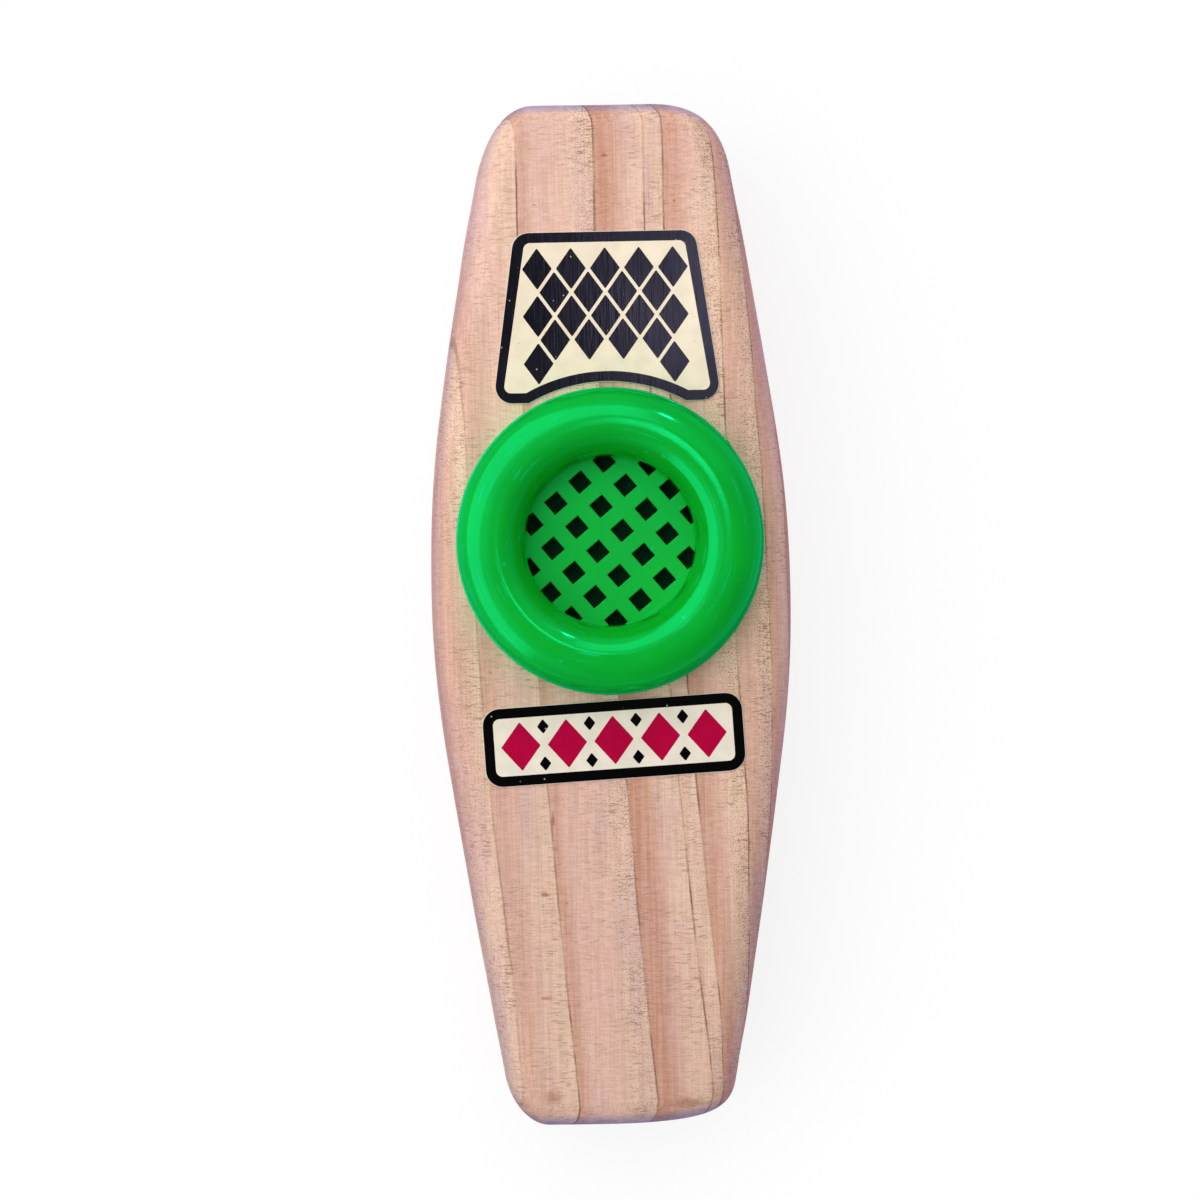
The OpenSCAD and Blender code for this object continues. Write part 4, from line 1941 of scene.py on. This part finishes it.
@dataclass
class GrilleDisc(Moulding):
    """The lattice over the membrane, with its key and its snap lip."""

    body: ClassVar[Body] = Body.GRILLE
    node: ClassVar[str] = "grille_disc"
    mid: Flat = CAP_MID
    r: float = 13.2
    low: float = 21.4
    thickness: float = 1.4
    field_r: float = 11.3
    window: float = 2.1
    pitch: float = 4.05
    turn_deg: float = 40.0
    key_w: float = 2.0
    key_r: float = 14.2
    lip_r: float = 11.95
    edge: float = 0.12
    least_window: float = 0.1
    window_edge: float = 0.05
    lip_sink: float = 0.3
    lip_stem: float = 0.2
    lip_head: float = 0.4
    lip_neck: float = 0.6
    lip_h: float = 1.1
    lip_low_edge: float = 0.1
    lip_top_edge: float = 0.2
    border_steps: int = 96
    rim_steps: int = 160
    crease_deg: float = 12.0

    def windows(self) -> list[list[Flat]]:
        """Draws the windows, cut off by the rim.

        Returns:
            Each window's points.
        """
        border = circle((0.0, 0.0), self.field_r, self.border_steps)
        signs = ((-1, -1), (1, -1), (1, 1), (-1, 1))
        half = self.window / 2
        reach = math.ceil(self.field_r / self.pitch)
        found: list[list[Flat]] = []
        for i in range(-reach, reach):
            for j in range(-reach, reach + 1):
                u, v = (i + 0.5) * self.pitch, j * self.pitch
                square = draw([Bend(u + a * half, v + b * half, self.window_edge) for a, b in signs], 2)
                left = trim([swung(point, self.turn_deg) for point in square], border)
                if area(left) > self.least_window:
                    found.append([(p + self.mid[0], q + self.mid[1]) for p, q in left])
        return found

    def outline(self) -> list[Flat]:
        """Draws the disc's outline with its key.

        Returns:
            The outline's points.
        """
        half = self.key_w / 2
        side = math.degrees(math.asin(half / self.r))
        rim = arc((0, 0), self.r, side, 360 - side, self.rim_steps)
        rim = [(x + self.mid[0], y + self.mid[1]) for x, y in rim]
        key_x = self.key_r + self.mid[0]
        return [*rim, (key_x, self.mid[1] - half), (key_x, self.mid[1] + half)]

    def build(self) -> Piece:
        """Makes the disc with its lip.

        Returns:
            The disc.
        """
        half = self.thickness / 2
        paths = [self.outline(), *self.windows()]
        disc = pierced("grille_lattice", paths, self.low + half, half, self.edge, self.crease_deg)
        top = self.low + self.thickness
        foot, neck, head = top - self.lip_sink, top + self.lip_neck, top + self.lip_h
        inner, outer = self.lip_r - self.lip_stem, self.lip_r + self.lip_stem
        inner_head, outer_head = self.lip_r - self.lip_head, self.lip_r + self.lip_head
        lip = draw(
            [
                Bend(inner, foot),
                Bend(outer, foot),
                Bend(outer, neck),
                Bend(outer_head, neck, self.lip_low_edge),
                Bend(outer_head, head, self.lip_top_edge),
                Bend(inner_head, head, self.lip_top_edge),
                Bend(inner_head, neck, self.lip_low_edge),
                Bend(inner, neck),
            ]
        )
        return join("lattice_disc", [disc, turned("grille_lip", lip, self.mid)], self.crease_deg)


@dataclass
class MembraneStack:
    """The film that buzzes, with the washer under it and the hoop over it."""

    mid: Flat = CAP_MID
    r: float = 13.2
    low: float = 20.3
    thickness: float = 0.1
    slack_r: float = 10.8
    slack: float = 0.25
    fold_rate: float = 0.9
    fold_bend: float = 0.6
    fold_bend_rate: float = 0.5
    cross_rate: Flat = (0.15, 0.35)
    cross_start: float = 0.8
    rings: int = 33
    segments: int = 96

    def level(self, x: float, y: float) -> float:
        """Gives how far the film's wrinkles lift it at a place from its middle.

        Args:
            x: The place's X.
            y: The place's Y.

        Returns:
            The lift.
        """
        away = math.hypot(x, y)
        if away >= self.slack_r:
            return 0.0
        fold = math.sin(x * self.fold_rate + self.fold_bend * math.sin(y * self.fold_bend_rate))
        cross = math.sin(y * self.cross_rate[1] + x * self.cross_rate[0] + self.cross_start)
        return self.slack * (fold * cross) * (1 - (away / self.slack_r) ** 2)

    def build(self) -> Piece:
        """Makes the film as a thin wrinkled disc.

        Returns:
            The film.
        """
        radii = [self.r * k / self.rings for k in range(self.rings + 1)]
        profile = [(r, self.low) for r in radii] + [(r, self.low + self.thickness) for r in reversed(radii)]
        film = turned("membrane_sheet", profile, self.mid, self.segments)
        for vertex in film.data.vertices:
            x, y = vertex.co.x / MM - self.mid[0], vertex.co.y / MM - self.mid[1]
            vertex.co.z += self.level(x, y) * MM
        film.data.update()
        return film

    def assemble(self, effects: Effects) -> None:
        """Builds the film, and dresses it, the washer and the hoop.

        Args:
            effects: The shared effects.
        """
        film = self.build()
        # The film is painted near black with a green cast, as painted shade for the dark chamber under the
        # grille.
        shade_film = SoftFinish("film_painted_shade", (0.0050, 0.0440, 0.0210), 0.30, 0.5, 0.08, specular=0.0)
        film.data.materials.append(shade_film.make(effects))
        hand_over(film, Body.KAZOO, Slot.FILM, "membrane_film")
        rubber = SoftFinish("washer_rubber", (0.030, 0.029, 0.028), 0.75, 2.5, 0.03)
        plastic = SoftFinish("hoop_plastic", (0.028, 0.028, 0.030), 0.40, 0.8, 0.02)
        for node, finish in (("sealing_washer", rubber), ("membrane_hoop", plastic)):
            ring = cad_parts[node]
            ring.data.materials.clear()
            ring.data.materials.append(finish.make(effects))
            LOG.info("%s keeps its packed shape", node)


class Ink(Enum):
    """The vinyl's bare stock and the inks printed on it."""

    STOCK = "stock"
    BLACK = "black"
    CREAM = "cream"
    CRIMSON = "crimson"


@dataclass
class Sticker:
    """A die-cut vinyl sticker: bare stock, a dark ground, a pale panel and a pattern of diamonds."""

    name: str
    node: str
    wood_top: float = WOOD_TOP
    thickness: float = 0.2
    layer: float = 0.008
    corner_r: float = 2.2
    stock_rim: float = 0.07
    ground_rim: float = 1.35
    edge: float = 0.06
    least_corner: float = 0.5
    tip_r: float = 0.12
    corner_steps: int = 8
    bow_steps: int = 40

    def path(self, inset: float) -> list[Flat]:
        """Draws the sticker's outline, drawn in by a distance."""
        raise NotImplementedError

    def motif(self) -> list[tuple[Ink, list[Flat]]]:
        """Draws the pattern on the panel."""
        raise NotImplementedError

    def diamond(self, mid: Flat, half: Flat, turn_deg: float = 0.0) -> list[Flat]:
        """Draws one diamond with slightly blunted tips.

        Args:
            mid: Its middle.
            half: Half of its width and of its height.
            turn_deg: Its turn, anticlockwise.

        Returns:
            The diamond's points.
        """
        tips = ((half[0], 0), (0, half[1]), (-half[0], 0), (0, -half[1]))
        return [swung(point, turn_deg, mid) for point in draw([Bend(*tip, self.tip_r) for tip in tips], 2)]

    def assemble(self, inks: dict[Ink, Material]) -> None:
        """Builds, dresses and hands over the sticker.

        Args:
            inks: The material of each ink.
        """
        top = self.wood_top + self.thickness
        stock = plate(self.name + "_stock", self.path(0.0), self.wood_top, top, self.edge)
        stock.data.materials.append(inks[Ink.STOCK])
        hand_over(stock, Body.KAZOO, Slot.STICKER, self.node)
        printed: list[tuple[Ink, list[list[Flat]]]] = [
            (Ink.BLACK, [self.path(self.stock_rim)]),
            (Ink.CREAM, [self.path(self.ground_rim)]),
        ]
        motif = self.motif()
        for ink in (Ink.BLACK, Ink.CRIMSON):
            shapes = [shape for used, shape in motif if used is ink]
            if shapes:
                printed.append((ink, shapes))
        for i, (ink, shapes) in enumerate(printed):
            level = top + self.layer * (min(i, 2) + 1)
            low = top - self.layer
            films = [plate(f"{self.name}_{k}", shape, low, level, 0.0) for k, shape in enumerate(shapes)]
            print_film = join(f"{self.name}_{ink.value}_{i}", films)
            print_film.data.materials.append(inks[ink])
            hand_over(print_film, Body.KAZOO, Slot.STICKER)


@dataclass
class UpperSticker(Sticker):
    """The tapered sticker above the cap, hollowed to clear the socket's flange."""

    clear_r: float = 20.15
    mid: Flat = CAP_MID
    low_w: float = 29.0
    top_w: float = 23.0
    low_y: float = 26.85
    top_y: float = 48.5
    cell: Flat = (4.3, 6.0)
    first_row: float = 43.85
    fill: float = 0.44
    rows: tuple[tuple[float, ...], ...] = (
        (-2, -1, 0, 1, 2),
        (-1.5, -0.5, 0.5, 1.5),
        (-2, -1, 0, 1, 2),
        (-1.5, -0.5, 0.5, 1.5),
        (-2, 2),
    )

    def path(self, inset: float) -> list[Flat]:
        """Draws the outline, drawn in by a distance.

        Args:
            inset: The distance.

        Returns:
            The outline's points.
        """
        corner = self.corner_r - min(inset, self.corner_r - self.least_corner)
        shift = self.corner_r - corner
        low, top = self.low_y + shift, self.top_y - shift
        reach_low, reach_top = self.low_w / 2 - shift, self.top_w / 2 - shift
        hollow = self.clear_r + inset
        foot = low + inset - shift if inset > shift else low
        meet = math.degrees(math.asin((foot - self.mid[1]) / hollow))
        bow = arc(self.mid, hollow, 180 - meet, meet, self.bow_steps)
        bends = [Bend(reach_low, foot, corner), Bend(reach_top, top, corner)]
        bends += [Bend(-reach_top, top, corner), Bend(-reach_low, foot, corner)]
        return [*draw([*bends, Bend(0.0, foot)], self.corner_steps)[:-1], *bow]

    def motif(self) -> list[tuple[Ink, list[Flat]]]:
        """Draws rows of dark diamonds.

        Returns:
            Each diamond with its ink.
        """
        wide, tall = self.cell
        half = (wide * self.fill, tall * self.fill)
        return [
            (Ink.BLACK, self.diamond((place * wide, self.first_row - row * tall / 2), half))
            for row, places in enumerate(self.rows)
            for place in places
        ]


@dataclass
class LowerSticker(Sticker):
    """The slightly tilted band below the cap."""

    mid: Flat = (0.0, -15.85)
    w: float = 33.0
    h: float = 10.0
    tilt_deg: float = 3.0
    count: int = 5
    pitch: float = 5.9
    large: Flat = (2.5, 3.1)
    small: Flat = (0.75, 0.95)
    small_away: float = 2.35

    def place(self, x: float, y: float) -> Flat:
        """Turns a place on the band into one on the body."""
        return swung((x, y), self.tilt_deg, self.mid)

    def path(self, inset: float) -> list[Flat]:
        """Draws the outline, drawn in by a distance.

        Args:
            inset: The distance.

        Returns:
            The outline's points.
        """
        corner = max(self.corner_r - inset, self.least_corner)
        x, y = self.w / 2 - inset, self.h / 2 - inset
        bends = [Bend(-x, -y, corner), Bend(x, -y, corner), Bend(x, y, corner), Bend(-x, y, corner)]
        return [self.place(*point) for point in draw(bends, self.corner_steps)]

    def motif(self) -> list[tuple[Ink, list[Flat]]]:
        """Draws a row of crimson diamonds with small dark ones between.

        Returns:
            Each diamond with its ink.
        """
        found: list[tuple[Ink, list[Flat]]] = []
        for k in range(self.count):
            spot = self.place((k - (self.count - 1) / 2) * self.pitch, 0)
            found.append((Ink.CRIMSON, self.diamond(spot, self.large, self.tilt_deg)))
        for k in range(self.count - 1):
            for side in (-1, 1):
                spot = self.place((k - self.count / 2 + 1) * self.pitch, side * self.small_away)
                found.append((Ink.BLACK, self.diamond(spot, self.small, self.tilt_deg)))
        return found


@dataclass(frozen=True)
class Softbox:
    """A curved band of light that only gloss shows, bounded by its azimuth and its height."""

    radiance: float = 3.9
    reach_m: float = 2.5
    middle_deg: float = 152.0
    side_fade: Flat = (0.10, 0.30)
    top_deg: float = 80.0
    top_level: float = 0.80
    top_swing: float = 0.13
    foot_deg: float = 70.0
    foot_fade: Flat = (0.5, 0.95)
    foot_level: Flat = (0.04, 0.60)
    blur: float = 0.02
    shell: float = 1.02
    rings: int = 24
    segments: int = 64

    def toward(self, wires: Wiring, level: Socket, azimuth_deg: float) -> Socket:
        """Gives how far a level direction points toward an azimuth."""
        turn = math.radians(azimuth_deg)
        return wires.vector("DOT_PRODUCT", level, (math.cos(turn), math.sin(turn), 0.0))

    def finish(self) -> Material:
        """Builds the band's material, clear outside of the band.

        Returns:
            The material.
        """
        material = bpy.data.materials.new("softbox_light")
        material.use_nodes = True
        wires = Wiring(material.node_tree)
        material.node_tree.nodes.remove(material.node_tree.nodes["Principled BSDF"])
        place = wires.vector("NORMALIZE", wires.add("ShaderNodeTexCoord").outputs["Object"])
        up = wires.parts(place)[2]
        level = wires.vector("NORMALIZE", wires.vector("MULTIPLY", place, (1.0, 1.0, 0.0)))
        top = wires.times(self.toward(wires, level, self.top_deg), self.top_swing)
        under = wires.minus(wires.plus(top, self.top_level), up)
        foot = wires.span(self.toward(wires, level, self.foot_deg), *self.foot_fade, *self.foot_level)
        over = wires.minus(up, foot)
        band = wires.times(wires.span(under, -self.blur, self.blur), wires.span(over, -self.blur, self.blur))
        band = wires.times(band, wires.span(self.toward(wires, level, self.middle_deg), *self.side_fade))
        glow = wires.add("ShaderNodeEmission")
        glow.inputs["Strength"].default_value = self.radiance
        mix = wires.add("ShaderNodeMixShader")
        clear = wires.add("ShaderNodeBsdfTransparent")
        wires.fed(mix, band, clear.outputs[0], glow.outputs[0])
        wires.feed(material.node_tree.nodes["Material Output"].inputs["Surface"], mix.outputs[0])
        return material

    def assemble(self) -> None:
        """Hangs the band over the floor."""
        reach = self.reach_m / MM
        tilts = [math.pi / 2 * k / self.rings for k in range(self.rings + 1)]
        profile = [(reach * math.cos(a), reach * math.sin(a)) for a in tilts]
        profile += [(0.0, self.shell * reach), (self.shell * reach, 0.0)]
        dome = turned("softbox", profile, (0.0, 0.0), self.segments)
        dome.data.materials.append(self.finish())
        gloss_only(dome)
        dome.visible_shadow = False


def aim(azimuth_deg: float, tilt_deg: float) -> Vector:
    """Gives the direction at an azimuth from +X and a tilt from straight overhead."""
    turn, tilt = math.radians(azimuth_deg), math.radians(tilt_deg)
    return Vector((math.sin(tilt) * math.cos(turn), math.sin(tilt) * math.sin(turn), math.cos(tilt)))


def gloss_only(light: Piece) -> None:
    """Lets a light show in gloss alone.

    Args:
        light: The light's object.
    """
    light.visible_camera = False
    light.visible_diffuse = False
    light.visible_transmission = False


@dataclass(frozen=True)
class Lamp:
    """A small round lamp that only gloss shows, where a radiance of 1 looks white."""

    name: str
    azimuth_deg: float
    tilt_deg: float
    size_m: float
    radiance: float
    away_m: float = 0.9
    target_m: Solid = (0.0, 0.0093, 0.02)

    def assemble(self) -> None:
        """Hangs the lamp and aims it at the cap."""
        light = bpy.data.lights.new(self.name, "AREA")
        light.shape = "DISK"
        light.size = self.size_m
        light.energy = self.radiance * math.pi * self.size_m**2
        lamp = linked(self.name, light)
        toward = aim(self.azimuth_deg, self.tilt_deg)
        lamp.location = Vector(self.target_m) + toward * self.away_m
        lamp.rotation_euler = (-toward).to_track_quat("-Z", "Y").to_euler()
        gloss_only(lamp)


@dataclass(frozen=True)
class Studio:
    """A white floor, a soft sky with a darker patch, lights that only gloss shows, and the camera."""

    lens_mm: float = 85.0
    sensor_mm: float = 36.0
    eye: Solid = (-1.43, 1.87, 380.4)
    roll: float = -0.0194
    floor_reach_m: float = 100.0
    fill_light: float = 0.55
    key_light: float = 1.12
    key_azimuth_deg: float = 152.0
    key_tilt_deg: float = 29.0
    shade_azimuth_deg: float = 312.0
    shade_tilt_deg: float = 31.0
    shade_fade: Flat = (0.66, 0.84)
    shade_light: float = 0.35
    floor_z: float = -0.02
    clip_m: Flat = (0.01, 250.0)
    lamps: tuple[Lamp, ...] = (Lamp("bulb", 65.0, 57.0, 0.05, 100.0), Lamp("overhead", 55.0, 9.5, 0.16, 5.2))

    def floor(self) -> None:
        """Lays the floor under the body's back."""
        reach = self.floor_reach_m / MM
        corners = [(a * reach, b * reach, self.floor_z) for a, b in ((-1, -1), (1, -1), (1, 1), (-1, 1))]
        floor = make_piece("studio_floor", corners, [(0, 1, 2, 3)])
        floor.data.materials.append(FloorFinish().make())

    def sky(self) -> None:
        """Lights the scene softly, most from the key's side, with a darker patch opposite."""
        world = bpy.data.worlds.new("studio_sky")
        bpy.context.scene.world = world
        world.use_nodes = True
        wires = Wiring(world.node_tree)
        direction = wires.add("ShaderNodeTexCoord").outputs["Generated"]
        key = wires.vector("DOT_PRODUCT", direction, tuple(aim(self.key_azimuth_deg, self.key_tilt_deg)))
        lobe = wires.most(key, 0.0)
        light = wires.plus(wires.times(lobe, self.key_light), self.fill_light)
        shaded = tuple(aim(self.shade_azimuth_deg, self.shade_tilt_deg))
        near = wires.vector("DOT_PRODUCT", direction, shaded)
        light = wires.times(light, wires.span(near, *self.shade_fade, 1.0, self.shade_light))
        wires.feed(world.node_tree.nodes["Background"].inputs["Color"], wires.gather(light, light, light))

    def camera(self) -> None:
        """Sets the camera straight over the front."""
        data = bpy.data.cameras.new("portrait")
        data.lens = self.lens_mm
        data.sensor_width = self.sensor_mm
        data.clip_start, data.clip_end = self.clip_m
        eye = linked("portrait", data)
        eye.location = tuple(c * MM for c in self.eye)
        eye.rotation_euler = (0.0, 0.0, self.roll)
        bpy.context.scene.camera = eye

    def assemble(self) -> None:
        """Sets up the floor, the lights, the camera and the view."""
        self.floor()
        self.sky()
        Softbox().assemble()
        for lamp in self.lamps:
            lamp.assemble()
        self.camera()
        bpy.context.scene.view_settings.view_transform = "Standard"


def main() -> None:
    """Builds the kazoo's pieces in order, then the studio."""
    logging.basicConfig(level=logging.INFO, format="%(name)s: %(message)s")
    body = WoodenBody()
    effects = Effects(Timber(), MouldSkin())
    body.assemble(effects)

    green = MouldedFinish("green_moulding", (0.0040, 0.428, 0.0215)).make(effects)
    lattice = MouldedFinish(
        "green_lattice", (0.0100, 0.425, 0.0125), roughness=0.3, wear=0.5, depth=0.002, inner_shade=0.0
    ).make(effects)
    # The insert is the same green plastic, painted lighter and bluer as a highlight along its flange.
    insert = MouldedFinish("green_insert_painted_highlight", (0.0050, 0.480, 0.1100)).make(effects)
    CapSocket().assemble(insert)
    MembraneStack().assemble(effects)
    GrilleDisc().assemble(lattice)
    ScrewCap().assemble(green)

    panel_inks = {
        Ink.STOCK: VinylFinish("panel_stock", (0.78, 0.74, 0.66), roughness=0.3),
        Ink.BLACK: VinylFinish(
            "panel_black", (0.0020, 0.0019, 0.0030), specular=0.15, gloss_tint=(0.69, 0.64, 1.0)
        ),
        Ink.CREAM: VinylFinish("panel_cream", (0.970, 0.835, 0.640), dust=0.1),
    }
    band_inks = {
        Ink.STOCK: VinylFinish("band_stock", (0.78, 0.74, 0.66), roughness=0.3),
        Ink.BLACK: VinylFinish("band_black", (0.0008, 0.0008, 0.0009), specular=0.04),
        Ink.CREAM: VinylFinish("band_cream", (0.905, 0.812, 0.690), dust=0.1),
        Ink.CRIMSON: VinylFinish("band_crimson", (0.485, 0.0009, 0.0470), specular=0.05),
    }
    for sticker, inks in (
        (UpperSticker("upper_panel", "upper_sticker"), panel_inks),
        (LowerSticker("lower_band", "lower_sticker"), band_inks),
    ):
        sticker.assemble({ink: finish.make(effects) for ink, finish in inks.items()})

    Studio().assemble()


if __name__ == "__main__":
    main()
